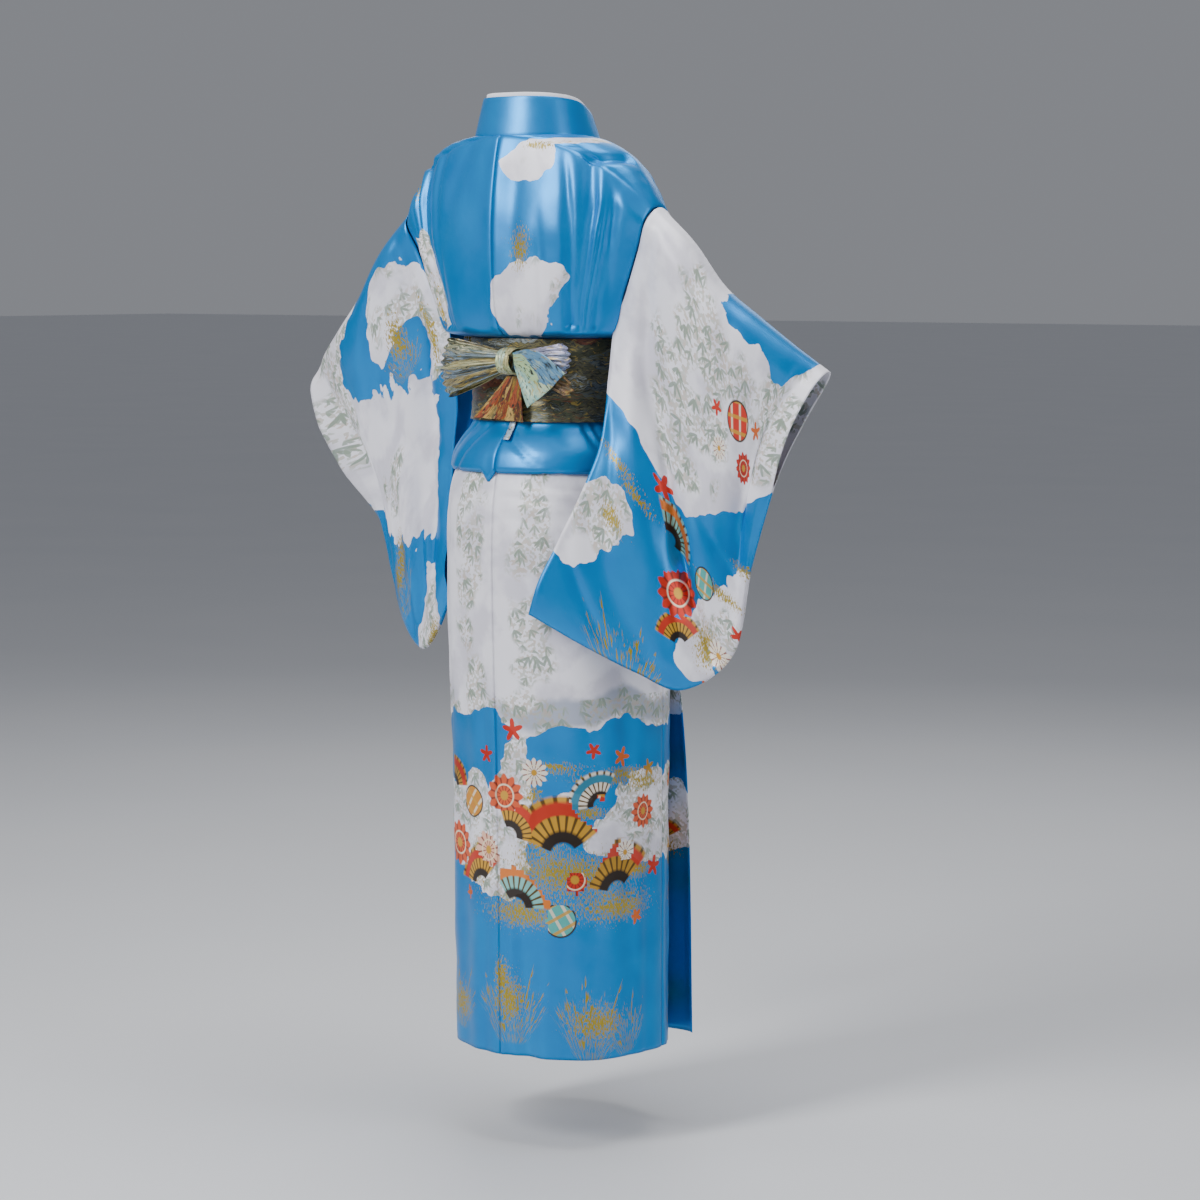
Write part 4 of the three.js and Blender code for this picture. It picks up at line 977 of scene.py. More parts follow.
def printed_satin(settings):
    """Blue polyester satin with white mist, bamboo sprays, gold flecks and motifs printed on it."""
    if SATIN in bpy.data.materials:
        return bpy.data.materials[SATIN]
    material, tree = new_material(SATIN)
    cloth = put(tree, "UVMap", uv_map="cloth")
    white, gold, spray, haze = (put(tree, "Attribute", out=2, attribute_name=name)
                                for name in ("white", "gold", "spray", "haze"))

    # Cloud edges are scalloped at about 20 mm and roughened at about 4 mm
    billow = put(tree, "TexVoronoi", cloth, Scale=1 / BILLOW, voronoi_dimensions="2D", feature="SMOOTH_F1")
    rough = put(tree, "TexNoise", cloth, Scale=1 / RAGGED, Detail=3.0, noise_dimensions="2D")
    ragged = put(tree, "Math.MULTIPLY_ADD", rough, 0.16, put(tree, "Math.MULTIPLY_ADD", billow, -0.34, white))
    mist = put(tree, "MapRange", ragged, 0.44, 0.455, 0.0, 1.0, interpolation_type="SMOOTHSTEP")
    shade = put(tree, "TexNoise", cloth, Scale=1 / MOTTLE, Detail=4.0, noise_dimensions="2D")
    lilac = put(tree, "MapRange", shade, 0.42, 0.62, 0.0, 1.0, interpolation_type="SMOOTHSTEP")
    smoky = put(tree, "Math.MULTIPLY_ADD", haze, 1.25, shade)
    smoky = put(tree, "MapRange", smoky, 0.95, 1.5, 0.0, 1.0, interpolation_type="SMOOTHSTEP")
    pale = printed(tree, linear(settings.white), (lilac, "#D6D4E0"), (smoky, "#A4ABBC"))
    colour = printed(tree, linear(settings.blue), (shade, settings.blue_light), (mist, pale))

    # Bamboo sprays: leaves of about 12 mm in clusters, with blossom flecks of 2 or 3 mm
    cluster = put(tree, "TexNoise", cloth, Scale=1 / CLUSTER, Detail=1.0, noise_dimensions="2D")
    gate = put(tree, "Math.MULTIPLY", cluster, spray)
    gate = put(tree, "MapRange", gate, 0.24, 0.36, 0.0, 1.0, interpolation_type="SMOOTHSTEP")
    growth = put(tree, "Math.MULTIPLY", gate, mist)
    flecks = put(tree, "TexVoronoi", cloth, Scale=1 / FLECK, voronoi_dimensions="2D", out=1)
    dots = put(tree, "Math.GREATER_THAN", put(tree, "SeparateXYZ", flecks), 0.5)
    dots = put(tree, "Math.MULTIPLY", put(tree, "Math.MULTIPLY", dots, growth), 0.62)
    fleck = printed(tree, linear("#B9A388"), (put(tree, "SeparateXYZ", flecks, out=1), "#A7B3A6"))
    colour = printed(tree, colour, (dots, fleck))
    for *leaf, tint in LEAVES:
        leaves = put(tree, "Math.MULTIPLY", leaf_layer(tree, cloth, *leaf), growth)
        colour = printed(tree, colour, (put(tree, "Math.MULTIPLY", leaves, 0.85), tint))

    # Gold flecks lie in streaks down the cloth
    streaks = put(tree, "VectorMath.MULTIPLY", cloth, (520.0, 190.0, 1.0))
    grain = put(tree, "TexNoise", streaks, Scale=1.0, Detail=2.0, noise_dimensions="2D")
    dust = put(tree, "Math.MULTIPLY_ADD", gold, 0.49, grain)
    dust = put(tree, "MapRange", dust, 0.82, 0.92, 0.0, 1.0, interpolation_type="SMOOTHSTEP")
    colour = printed(tree, colour, (dust, settings.gold), *motif_layers(tree))

    roughness = put(tree, "MapRange", mist, 0.0, 1.0, settings.gloss, settings.gloss + 0.1)
    metallic = put(tree, "MapRange", mist, 0.0, 1.0, 0.5, 0.08)
    satin_shader(tree, colour, cloth, roughness, metallic)
    return material


def belt_satin(name, palette, pitch, stretch):
    """Satin belt cloth printed with marbled patches, streaked along the cloth."""
    material, tree = new_material(name)
    cloth = put(tree, "UVMap", uv_map="cloth")
    warp = put(tree, "TexNoise", cloth, Scale=1 / 0.02, Detail=4.0, out=1, noise_dimensions="2D")
    drawn = put(tree, "VectorMath.MULTIPLY_ADD", warp, (0.016, 0.016, 0.0), cloth)
    drawn = put(tree, "VectorMath.MULTIPLY", drawn, (*stretch, 1.0))
    cells = put(tree, "TexVoronoi", drawn, Scale=1 / pitch, voronoi_dimensions="2D", out=1)
    streak = put(tree, "VectorMath.MULTIPLY", drawn, (0.5, 1.6, 1.0))
    brushed, fine, glint = (
        put(tree, "TexNoise", place, Scale=1 / size, Detail=detail, Distortion=bend, noise_dimensions="2D")
        for place, size, detail, bend in (
            (streak, 0.0035, 5.0, 0.0), (drawn, 0.004, 3.0, 0.0), (drawn, 0.0055, 2.0, 0.6)))
    pick = put(tree, "Math.MULTIPLY_ADD", put(tree, "SeparateXYZ", cells), 0.95, -0.2)
    pick = put(tree, "Math.MULTIPLY_ADD", brushed, 0.45, pick)
    stops = [(i / len(palette), colour) for i, colour in enumerate(palette)]
    marbled = put(tree, "ValToRGB", pick, ramp=("LINEAR", stops))
    fine = put(tree, "MapRange", fine, 0.5, 0.75, 0.0, 1.0, interpolation_type="SMOOTHSTEP")
    glint = put(tree, "MapRange", glint, 0.63, 0.7, 0.0, 1.0, interpolation_type="SMOOTHSTEP")
    glint = put(tree, "Math.MULTIPLY", glint, 0.7)
    satin_shader(tree, printed(tree, marbled, (fine, "#2A2A24"), (glint, "#B79C4A")), cloth, 0.42, weave=0.2)
    return material


def plain_cotton():
    """White cotton lawn, matt, with a plain weave."""
    material, tree = new_material("white_cotton_lawn")
    cloth = put(tree, "UVMap", uv_map="cloth")
    fine = put(tree, "TexNoise", cloth, Scale=1 / 0.0008, Detail=1.0, noise_dimensions="2D")
    bump = put(tree, "Bump", Strength=0.2, Distance=0.0002, Height=fine)
    colour = printed(tree, linear("#EDECF0"), (fine, "#D9D8E0"))
    put(tree, "OutputMaterial", put(tree, "BsdfPrincipled", Base_Color=colour, Normal=bump, Roughness=0.8))
    return material


def floor_paint():
    """Pale matt floor paint, rolled, with a faint mottle."""
    material, tree = new_material("pale_matt_floor_paint")
    mottle = put(tree, "TexNoise", put(tree, "TexCoord", out=3), Scale=1.5, Detail=2.0)
    colour = printed(tree, linear("#D5D7DB"), (mottle, "#DCDDE0"))
    put(tree, "OutputMaterial", put(tree, "BsdfPrincipled", Base_Color=colour, Roughness=0.5))
    return material


# Pieces

def face_corners(values):
    """The values at the four corners of each face of a grid."""
    corners = values[:-1, :-1], values[:-1, 1:], values[1:, 1:], values[1:, :-1]
    return np.stack(corners, axis=-1).reshape(-1, 4)


def motif_corners(motifs, across, along, upward):
    """The printed motif in each face of a grid, as its own coordinates at the face's corners."""
    a, b = face_corners(np.broadcast_to(across, along.shape)), face_corners(along)
    middle_a, middle_b = a.mean(1), b.mean(1)
    place = np.zeros(a.shape + (3,))
    inside, kinds = np.zeros(a.shape), np.zeros(a.shape)
    best = np.zeros(len(a))
    for kind, middle, height, size, turn, shade in motifs:
        near = 1.1 - np.hypot(middle_a - middle, middle_b - height) / size
        chosen = near > best
        best = np.where(chosen, near, best)
        angle = math.radians(turn)
        dx, dy = (a[chosen] - middle) / size, upward * (b[chosen] - height) / size
        place[chosen] = np.stack([
            dx * math.cos(angle) + dy * math.sin(angle),
            dy * math.cos(angle) - dx * math.sin(angle),
            np.full_like(dx, shade),
        ], axis=-1)
        inside[chosen], kinds[chosen] = 1.0, kind
    return {"motif_place": place, "motif_inside": inside, "motif_kind": kinds}


def hemmed(across, width, near=7.0):
    """1 over a panel and 0 at its two seams, so folds end where it is sewn."""
    return smoothstep(across, 0, near) * smoothstep(width - across, 0, near)


def body_piece(side, settings):
    """One body length with its tuck, folds and print; side is -1 for the right one."""
    grid, places = body_grid(side, settings.columns, settings.pitch)
    u = np.linspace(0, 1, settings.columns + 1)[None, :]
    cloth_across = BACK_WIDTH * u
    across = side * cloth_across
    z = grid[..., 2]
    place = places[:, None]
    back = place < 0
    from_top = np.where(back, -place - SHOULDER_ROW - 1, place - (len(UPPER_ROWS) - SHOULDER_ROW))
    belted = (z > BELTED[0]) & (z < BELTED[1])
    upper, skirt = from_top < BLOUSE_ENDS, from_top > SKIRT_STARTS
    tuck = smoothstep(from_top, *TUCK_STARTS) * (1 - smoothstep(from_top, *TUCK_ENDS))
    inner = hemmed(cloth_across, BACK_WIDTH)

    depth = np.where(back & ~belted, crease_depth(BACK_CREASES, across, z), 0)
    free = np.where(belted, 0, 1) * inner
    folds = np.where(back, crease_depth(BACK_FOLDS, across, z), crease_depth(FRONT_FOLDS, cloth_across, z))
    run = run_along(grid[:, settings.columns // 2])
    run = (run - run[np.argmin(np.abs(places))])[:, None] + 0 * u
    depth = depth + FOLD_STRENGTH * folds * free * smoothstep(np.abs(run), *SHOULDER_FADE)
    depth = depth + TUCK_STRENGTH * inner * tuck * np.where(back, crease_depth(TUCK_FOLDS, across, z), 0)
    depth = depth + rumple(across, run, 11 + side, BODY_WAVES) * free
    for from_seam in (cloth_across, BACK_WIDTH - cloth_across):
        depth = depth + SEAM_DIMPLE * np.exp(-(from_seam / SEAM_DIMPLE_WIDTH) ** 2)
    grid = grid + grid_normals(grid) * (side * depth)[..., None]
    grid[..., 0] += side * SEAM / 2
    hangs = smoothstep(-z, *SAG_BAND) * (1 - smoothstep(from_top, -0.45, 0.0))
    grid[..., 2] -= BLOUSE_SAG * hangs * back
    if side > 0:
        point = np.clip(1 - np.abs(across - TUCK_CORNER["across"]) / TUCK_CORNER["width"], 0, 1)
        low = smoothstep(from_top, *CORNER_STARTS) * (1 - smoothstep(from_top, *CORNER_ENDS))
        grid[..., 2] -= TUCK_CORNER["drop"] * point * low * back

    line = SKIRT_LINE + SKIRT_WAVE * np.sin(across / 41) + SKIRT_RIPPLE * np.sin(across / 17 + 1)
    above = smoothstep(z, line - MIST_EDGE, line + MIST_EDGE)
    clouds = np.where(back, patches(SKIRT_CLOUDS, across, z), patches(SKIRT_CLOUDS, -cloth_across, z))
    blue = np.where(back, patches(SKIRT_BLUE, across, z), 0)
    white = np.where(skirt, np.maximum(above, clouds) * (1 - blue), 0)
    cloudy = np.where(back, patches(BACK_CLOUDS, across, z), patches(FRONT_CLOUDS, cloth_across, z))
    white = np.where(upper, cloudy, white)
    gold = np.where(back, patches(BACK_GOLD, across, z), patches(FRONT_GOLD, cloth_across, z))
    gold = np.where(upper, gold, np.where(skirt, patches(SKIRT_GOLD, across, z), 0))
    columns = sum(high * np.exp(-((across - middle) / wide) ** 2) for middle, wide, high in SKIRT_SPRAYS)
    spray = np.where(skirt, np.where(z > SKIRT_LINE + 40, columns, 0.72),
                     np.where(back & (across > 140), 0.9, 0.42))
    haze = np.where(skirt, np.exp(-((z - line - 22) / 24) ** 2), 0)
    haze = haze * (0.4 + 0.6 * smoothstep(-across, -20, 60))
    chosen = motif_corners(BACK_MOTIFS, across, np.where(back & skirt, z, NOWHERE), 1)
    front = motif_corners(FRONT_MOTIFS, cloth_across, np.where(~back & skirt, z, NOWHERE), 1)
    for key, values in chosen.items():
        in_front = front["motif_inside"][(...,) + (None,) * (values.ndim - 2)] > 0
        chosen[key] = np.where(in_front, front[key], values)
    fields = {"white": white, "gold": gold, "spray": spray, "haze": haze, **chosen}
    name = "body_left" if side > 0 else "body_right"
    return sheet_object("kimono_" + name, grid, meshed(across, run), settings.thickness, fields), name


def overlap_piece(side, settings):
    """One overlap panel with its soft waves and print."""
    grid = overlap_grid(side, OVERLAP_COLUMNS, settings.pitch)
    z = grid[..., 2]
    across = BACK_WIDTH + OVERLAP_WIDTH * np.linspace(0, 1, OVERLAP_COLUMNS + 1)[None, :] + 0 * z
    depth = 0.8 * np.sin(z / 90 + across / 60) * smoothstep(across, BACK_WIDTH, BACK_WIDTH + 20)
    depth = np.where(z < OVERLAP_STILL, depth, 0)
    grid = grid + grid_normals(grid) * (side * depth)[..., None]
    low = run_along(grid[:, 0])[:, None]
    skirt = low > OVERLAP_SKIRT
    line = SKIRT_LINE + OVERLAP_LINE_WAVE * np.sin(across / 33)
    above = smoothstep(z, line - MIST_EDGE, line + MIST_EDGE)
    white = np.maximum(above, patches(OVERLAP_CLOUDS, across, z))
    fields = {
        "white": np.where(skirt, white, 0),
        "gold": np.where(skirt, patches(OVERLAP_GOLD, across, z), 0),
        "spray": np.full_like(z, 0.6),
        **motif_corners(OVERLAP_MOTIFS, across, z, 1),
    }
    name = "overlap_left" if side > 0 else "overlap_right"
    return sheet_object("kimono_" + name, grid, meshed(side * across, -low), settings.thickness, fields), name


def sleeve_piece(name, settings):
    """One sleeve, both layers in one sheet, with its folds and print."""
    sleeve = SLEEVES[name]
    rows = np.linspace(0, len(sleeve["lines"]) - 1, settings.sleeve_rows)
    knots = np.arange(len(SLEEVE_DEPTHS))
    depths = np.interp(np.linspace(0, knots[-1], knots[-1] * settings.sleeve_steps + 1), knots, SLEEVE_DEPTHS)
    folds = [(*line, FOLD_STRENGTH * depth) for *line, depth in SLEEVE_FOLDS[name]]
    grid, cloth = sleeve_grid(sleeve, rows, depths, folds)
    across, along = cloth[..., 0], cloth[..., 1]
    down = np.abs(along)
    free = smoothstep(down, 6, 40) * smoothstep(down[:, [0]] - down, 0, 30)
    free = free * smoothstep(across, 4, 30) * smoothstep(SLEEVE_WIDTH - across, 0, 12)
    push = rumple(across, along, 31 + sleeve["side"], SLEEVE_WAVES) * free
    push = push - SLEEVE_DIMPLE * np.exp(-(across / SLEEVE_DIMPLE_WIDTH) ** 2)
    grid = grid + grid_normals(grid) * (sleeve["side"] * push)[..., None]
    table = SLEEVE_PRINT[name]
    edge = np.interp(across, *table["edge"])
    above = 1 - smoothstep(down, edge - SLEEVE_MIST_EDGE, edge + SLEEVE_MIST_EDGE)
    white = np.maximum(above, patches(table["white"], across, down))
    fields = {
        "white": white * (1 - patches(table["blue"], across, down)),
        "gold": patches(table["gold"], across, down),
        "spray": patches(SLEEVE_SPRAYS[name], across, down) * 0.95,
        **motif_corners(SLEEVE_MOTIFS[name], across, down, -1),
    }
    return sheet_object("kimono_" + name, grid, meshed(across, -along), settings.thickness, fields)


def strip_grid(collar):
    """The white inner collar lies inside the collar and stands a little above its edge."""
    normals = grid_normals(collar)
    middle = (len(collar) - 1) // 2
    reach = round(len(collar) * STRIP_REACH)
    rises = np.linspace(*STRIP_RISE, STRIP_COLUMNS + 1)
    rows = []
    for i in range(middle - reach, middle + reach + 1):
        row = collar[i]
        up = unit(row[-1] - row[0])
        outward = np.array((row[0][0], row[0][1] - NECK_Y, 0))
        inward = -1 if normals[i, -1] @ outward > 0 else 1
        rows.append([row[-1] + up * rise + normals[i, -1] * inward * STRIP_INSET for rise in rises])
    return np.array(rows)


def lengthwise(grid):
    """Cloth coordinates along and across a strip, measured on its points."""
    return meshed(run_along(grid[:, 0])[:, None], run_along(grid[len(grid) // 2])[None, :])


def belt_grid(columns, rows):
    """The belt band, once round the waist, with its creases."""
    v = np.linspace(0, 1, rows + 1)
    z = BELT["bottom"] + (BELT["top"] - BELT["bottom"]) * v
    mixed = np.stack([np.interp(z, LEVELS[:5, Z][::-1], LEVELS[:5, k][::-1]) for k in range(9)], axis=-1)
    mixed[:, UNDER] = 0
    stand = BELT["stand"] + BELT["bulge"] * np.sin(math.pi * v)
    mixed[:, HALF_WIDTH] += stand
    mixed[:, HALF_DEPTH] += stand
    angles = np.linspace(-BELT_CLOSES, BELT_CLOSES, columns + 1)
    grid = np.array([level_points(level, 1, angles) for level in mixed])
    across = run_along(grid[0])
    across = across - across[len(across) // 2]
    cloth = meshed(across[None, :], z[:, None])
    outward = np.stack([np.sin(np.radians(angles)), np.cos(np.radians(angles)), 0 * angles], axis=-1)
    depth = crease_depth(BELT_FOLDS, cloth[..., 0], cloth[..., 1])
    lift = 1.0 - depth + BELT_WAVES * rumple(cloth[..., 0], 2.5 * cloth[..., 1], 5)
    return grid + outward[None] * np.maximum(lift, -1.3)[..., None], cloth


def loop_grid(loop, columns, rows):
    """A loop of the bow: cloth that runs out from the knot, turns and comes back."""
    near, far = np.array(loop["near"], float), np.array(loop["far"], float)
    v = np.linspace(-1, 1, rows + 1)[:, None]
    turn = np.linspace(LOOP_OPEN, 2 * math.pi - LOOP_OPEN, columns + 1)[None, :]
    along = (1 - np.cos(turn)) / 2
    gap = LOOP_NECK_GAP + (loop["gap"] - LOOP_NECK_GAP) * smoothstep(along, 0, 0.6)
    aside = np.sign(np.sin(turn)) * np.sqrt(np.abs(np.sin(turn))) * gap
    out = np.sin(math.pi * along)
    pleat = loop["pleat"] * np.cos(math.pi * loop["pleats"] * v) * out
    fine = loop["fine"] * np.cos(math.pi * loop["fine_pleats"] * v + 0.8 * np.sin(3 * v))
    fine = fine * np.sqrt(out + 1e-9)
    height = loop["near_height"] + (loop["far_height"] - loop["near_height"]) * along
    shorter = 1 - 0.12 * v * v * along + 0.025 * np.cos(math.pi * loop["fine_pleats"] * v + 1) * along
    line = near + (far - near) * (along * shorter)[..., None]
    grid = line + meshed(0, aside + pleat + fine, v * height / 2)
    return grid, meshed(np.linalg.norm(far - near) * turn / math.pi, loop["cloth_width"] * v / 2)


def knot_grid(columns, rows):
    """The knot's band, once round the bow's middle."""
    s = np.linspace(-1, 1, rows + 1)[:, None]
    turn = np.linspace(-math.pi + KNOT_OPEN, math.pi - KNOT_OPEN, columns + 1)[None, :]
    swell = 1 + 0.06 * (1 - s ** 2)
    folds = 1 + 0.03 * np.cos(7 * s + 1.2 * np.sin(turn)) + 0.02 * np.cos(13 * s - turn)
    x = s * KNOT["half_length"] * (1 - 0.15 * np.cos(turn) ** 2)
    y = KNOT["half_depth"] * np.cos(turn) * folds
    z = KNOT["half_height"] * np.sin(turn) * swell * folds
    return meshed(x, y, z) + KNOT["centre"], meshed(KNOT["half_height"] * turn, 3 * KNOT["half_length"] * s)


def tail_grid(tail, columns, rows):
    """A tail of the bow: a sheet between its near and far edges, lifted along its top and softly waved."""
    out = np.linspace(0, 1, rows + 1)[:, None]
    across = np.linspace(0, 1, columns + 1)[None, :]
    near_top, near_bottom, far_top, far_bottom, lift = (
        np.array(tail[key], float) for key in ("near_top", "near_bottom", "far_top", "far_bottom", "lift"))
    top = near_top + (far_top - near_top) * out + lift * np.sin(math.pi * out)
    bottom = near_bottom + (far_bottom - near_bottom) * out
    grid = top[:, None] * (1 - across)[..., None] + bottom[:, None] * across[..., None]
    wave = tail["wave"] * (np.cos(2 * math.pi * tail["waves"] * across) + 1) * smoothstep(out, 0, 1)
    fine = tail["fine"] * np.cos(2 * math.pi * tail["fine_waves"] * across + 2 * out)
    grid[..., 1] += wave + fine * smoothstep(out, 0, 0.5)
    length = np.linalg.norm(far_top + far_bottom - near_top - near_bottom) / 2
    return grid, meshed(length * out, tail["cloth_width"] * across)


def tie_grid():
    """The end of a narrow tie that hangs below the belt over the tuck."""
    z = np.linspace(TIE_END["top"], TIE_END["bottom"], 14)
    backs = LEVELS[:7, MIDDLE_Y] + LEVELS[:7, HALF_DEPTH]
    y = np.interp(z, LEVELS[:7, Z][::-1], backs[::-1]) + TIE_END["stand"]
    x = TIE_END["middle"] + TIE_END["width"] * np.linspace(-0.5, 0.5, 6)
    drift = TIE_DRIFT * (z - z[0]) / (z[-1] - z[0])
    grid = meshed(x[None, :] - drift[:, None], y[:, None], z[:, None])
    grid[..., 1] += TIE_CURL * np.cos(2 * math.pi * (x[None, :] - TIE_END["middle"]) / TIE_END["width"])
    return grid


# Operators and panel

class KimonoCloth(bpy.types.PropertyGroup):
    """Sizes of the kimono's cloth and how finely it is drawn."""
    thickness: FloatProperty(name="Thickness", description="Cloth thickness in mm", default=0.9, min=0.3)
    pitch: FloatProperty(name="Pitch", description="Distance between rows in mm", default=6.5, min=3)
    columns: IntProperty(name="Columns", description="Faces across a body length", default=72, min=12)
    sleeve_rows: IntProperty(name="Sleeve rows", description="Rows along a sleeve", default=76, min=14)
    sleeve_steps: IntProperty(name="Sleeve steps", description="Faces to a depth step", default=8, min=1)


class KimonoPrint(bpy.types.PropertyGroup):
    """Colours, as sRGB hex, and gloss of the printed satin."""
    blue: StringProperty(name="Blue", description="Ground colour", default="#0076C0")
    blue_light: StringProperty(name="Light blue", description="Ground's lighter tone", default="#008CD4")
    white: StringProperty(name="Mist", description="Mist colour", default="#EEEDF6")
    gold: StringProperty(name="Gold", description="Fleck colour", default="#A8922F")
    gloss: FloatProperty(name="Roughness", description="Roughness of the blue", default=0.37, min=0, max=1)


class KimonoStage(bpy.types.PropertyGroup):
    """Floor, light and camera."""
    floor: FloatProperty(name="Floor", description="Height of the floor", default=-1.405, unit="LENGTH")
    distance: FloatProperty(name="Distance", description="Camera distance", default=4.5, unit="LENGTH")
    azimuth: FloatProperty(name="Azimuth", description="Camera angle round the garment",
                           default=math.radians(217), subtype="ANGLE")
    pitch: FloatProperty(name="Pitch", description="Camera angle down", default=math.radians(5.9),
                         subtype="ANGLE")
    lens: FloatProperty(name="Lens", description="Focal length in mm on a 36 mm frame", default=96.18)


class KIMONO_OT_body(bpy.types.Operator):
    """The two body lengths with the waist tuck, and the front overlaps"""
    bl_idname = "kimono.body"
    bl_label = "Body lengths and overlaps"

    def execute(self, context):
        settings = context.scene.kimono_cloth
        satin = printed_satin(context.scene.kimono_print)
        for side in (-1, 1):
            piece, node = body_piece(side, settings)
            finish_piece(piece, node, satin)
            piece, node = overlap_piece(side, settings)
            finish_piece(piece, node, satin)
        return {"FINISHED"}


class KIMONO_OT_collar(bpy.types.Operator):
    """The collar band and the white inner collar"""
    bl_idname = "kimono.collar"
    bl_label = "Collar"

    def execute(self, context):
        satin = printed_satin(context.scene.kimono_print)
        grid = collar_grid(COLLAR_COLUMNS, COLLAR_PITCH)
        cloth = lengthwise(grid)
        spring = COLLAR_SPRING * np.sin(cloth[..., 0] / COLLAR_SPRING_LENGTH)
        spring = spring * smoothstep(cloth[..., 1], 0, 30)
        shaped = grid + grid_normals(grid) * spring[..., None]
        piece = sheet_object("kimono_collar", shaped, cloth, COLLAR_THICKNESS, soften=True)
        finish_piece(piece, "collar", satin)
        strip = strip_grid(grid)
        piece = sheet_object("kimono_inner_collar", strip, lengthwise(strip), STRIP_THICKNESS, soften=True)
        finish_piece(piece, "inner_collar", plain_cotton())
        return {"FINISHED"}


class KIMONO_OT_sleeves(bpy.types.Operator):
    """The two hanging sleeves"""
    bl_idname = "kimono.sleeves"
    bl_label = "Sleeves"

    def execute(self, context):
        satin = printed_satin(context.scene.kimono_print)
        for name in SLEEVES:
            piece = sleeve_piece(name, context.scene.kimono_cloth)
            finish_piece(piece, name, satin)
        return {"FINISHED"}


class KIMONO_OT_belt(bpy.types.Operator):
    """The belt round the waist and the end of the tie that hangs below it"""
    bl_idname = "kimono.belt"
    bl_label = "Belt"

    def execute(self, context):
        grid, cloth = belt_grid(*BELT_FACES)
        piece = sheet_object("kimono_belt_band", grid, cloth, BELT_THICKNESS, soften=True)
        satin = belt_satin("marbled_belt_satin_band", BAND_COLOURS, 0.021, (0.4, 1.5))
        finish_piece(piece, "belt_band", satin)
        grid = tie_grid()
        piece = sheet_object("kimono_tie_end", grid, lengthwise(grid), TIE_THICKNESS)
        satin = belt_satin("pale_tie_satin", ("#BFD3E6", "#A9C2DA"), 0.02, (1, 1))
        finish_piece(piece, None, satin)
        return {"FINISHED"}


class KIMONO_OT_bow(bpy.types.Operator):
    """The bow's loops, knot and tails"""
    bl_idname = "kimono.bow"
    bl_label = "Bow"

    def execute(self, context):
        for loop in BOW_LOOPS:
            grid, cloth = loop_grid(loop, *LOOP_FACES)
            piece = sheet_object("kimono_" + loop["node"], grid, cloth, BOW_THICKNESS)
            satin = belt_satin("marbled_belt_satin_" + loop["node"], loop["colours"], *loop["print"])
            finish_piece(piece, loop["node"], satin)
        grid, cloth = knot_grid(*KNOT_FACES)
        piece = sheet_object("kimono_bow_knot", grid, cloth, KNOT_THICKNESS)
        satin = belt_satin("marbled_belt_satin_knot", KNOT["colours"], *KNOT["print"])
        finish_piece(piece, "bow_knot", satin)
        for tail in BOW_TAILS:
            grid, cloth = tail_grid(tail, *TAIL_FACES)
            piece = sheet_object("kimono_" + tail["node"], grid, cloth, BOW_THICKNESS)
            satin = belt_satin("marbled_belt_satin_" + tail["node"], tail["colours"], *tail["print"])
            finish_piece(piece, tail["node"], satin)
        return {"FINISHED"}


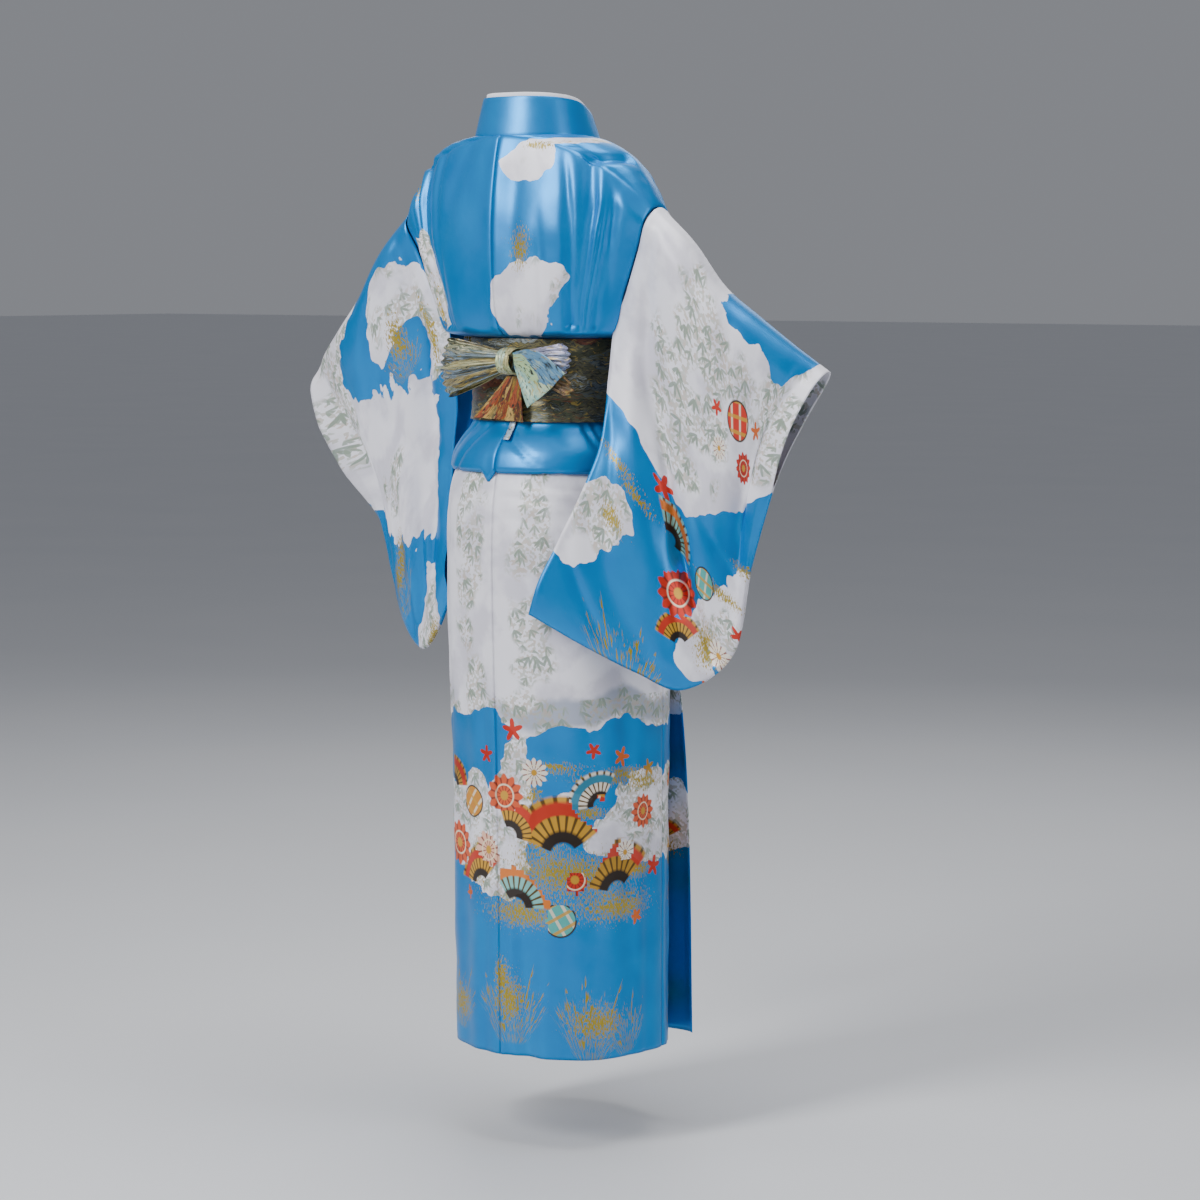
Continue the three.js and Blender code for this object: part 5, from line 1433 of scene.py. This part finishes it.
class KIMONO_OT_stage(bpy.types.Operator):
    """Pale floor and backdrop, soft studio light and the camera"""
    bl_idname = "kimono.stage"
    bl_label = "Stage"

    def execute(self, context):
        settings = context.scene.kimono_stage
        right = np.array((math.cos(settings.azimuth), math.sin(settings.azimuth), 0))
        toward = np.array((math.sin(settings.azimuth), -math.cos(settings.azimuth), 0))
        bpy.ops.object.select_all(action="DESELECT")
        bpy.ops.mesh.primitive_plane_add(size=FLOOR_SIZE, location=(0, 0, settings.floor))
        floor = context.object
        floor.name = "studio_floor"
        floor.data.materials.append(floor_paint())
        world = context.scene.world or bpy.data.worlds.new("studio")
        context.scene.world = world
        world.use_nodes = True
        sky = next(node for node in world.node_tree.nodes if node.type == "BACKGROUND")
        sky.inputs["Color"].default_value = linear(SKY_COLOUR)
        sky.inputs["Strength"].default_value = SKY_STRENGTH
        for name, aside, ahead, height, size, power in STUDIO_LIGHTS:
            place = right * aside + toward * ahead
            lamp = bpy.data.lights.new(name, "AREA")
            lamp.shape = "RECTANGLE"
            lamp.size, lamp.size_y = size
            lamp.energy = power
            lamp_object = bpy.data.objects.new(name, lamp)
            context.scene.collection.objects.link(lamp_object)
            lamp_object.location = (place[0], place[1], height)
            aim = Vector(LIGHTS_AIM) - lamp_object.location
            lamp_object.rotation_euler = aim.to_track_quat("-Z", "Y").to_euler()
        camera = bpy.data.cameras.new("photo_view")
        camera.lens = settings.lens
        camera.sensor_width = 36
        view = bpy.data.objects.new("photo_view", camera)
        context.scene.collection.objects.link(view)
        stand = right * CAMERA_ASIDE + toward * settings.distance
        view.location = (stand[0], stand[1], CAMERA_HEIGHT)
        ahead = -toward * math.cos(settings.pitch) + np.array((0, 0, -math.sin(settings.pitch)))
        view.rotation_euler = Vector(ahead).to_track_quat("-Z", "Y").to_euler()
        context.scene.camera = view
        return {"FINISHED"}


class KIMONO_PT_panel(bpy.types.Panel):
    """Lists the kimono's pieces"""
    bl_label = "Kimono"
    bl_idname = "KIMONO_PT_panel"
    bl_space_type = "VIEW_3D"
    bl_region_type = "UI"
    bl_category = "Kimono"

    def draw(self, context):
        for group in (context.scene.kimono_cloth, context.scene.kimono_print, context.scene.kimono_stage):
            box = self.layout.box()
            for name in group.bl_rna.properties.keys():
                if name not in ("rna_type", "name"):
                    box.prop(group, name)
        for operator in OPERATORS:
            self.layout.operator(operator.bl_idname)


GROUPS = {"kimono_cloth": KimonoCloth, "kimono_print": KimonoPrint, "kimono_stage": KimonoStage}
OPERATORS = (KIMONO_OT_stage, KIMONO_OT_body, KIMONO_OT_collar, KIMONO_OT_sleeves, KIMONO_OT_belt,
             KIMONO_OT_bow)


def register():
    for group in GROUPS.values():
        bpy.utils.register_class(group)
    for operator in OPERATORS:
        bpy.utils.register_class(operator)
    bpy.utils.register_class(KIMONO_PT_panel)
    for name, group in GROUPS.items():
        setattr(bpy.types.Scene, name, PointerProperty(type=group))


def unregister():
    for name in GROUPS:
        delattr(bpy.types.Scene, name)
    bpy.utils.unregister_class(KIMONO_PT_panel)
    for operator in reversed(OPERATORS):
        bpy.utils.unregister_class(operator)
    for group in reversed(GROUPS.values()):
        bpy.utils.unregister_class(group)


def main():
    register()
    bpy.ops.kimono.stage()
    bpy.ops.kimono.body()
    bpy.ops.kimono.collar()
    bpy.ops.kimono.sleeves()
    bpy.ops.kimono.belt()
    bpy.ops.kimono.bow()


if __name__ == "__main__":
    main()
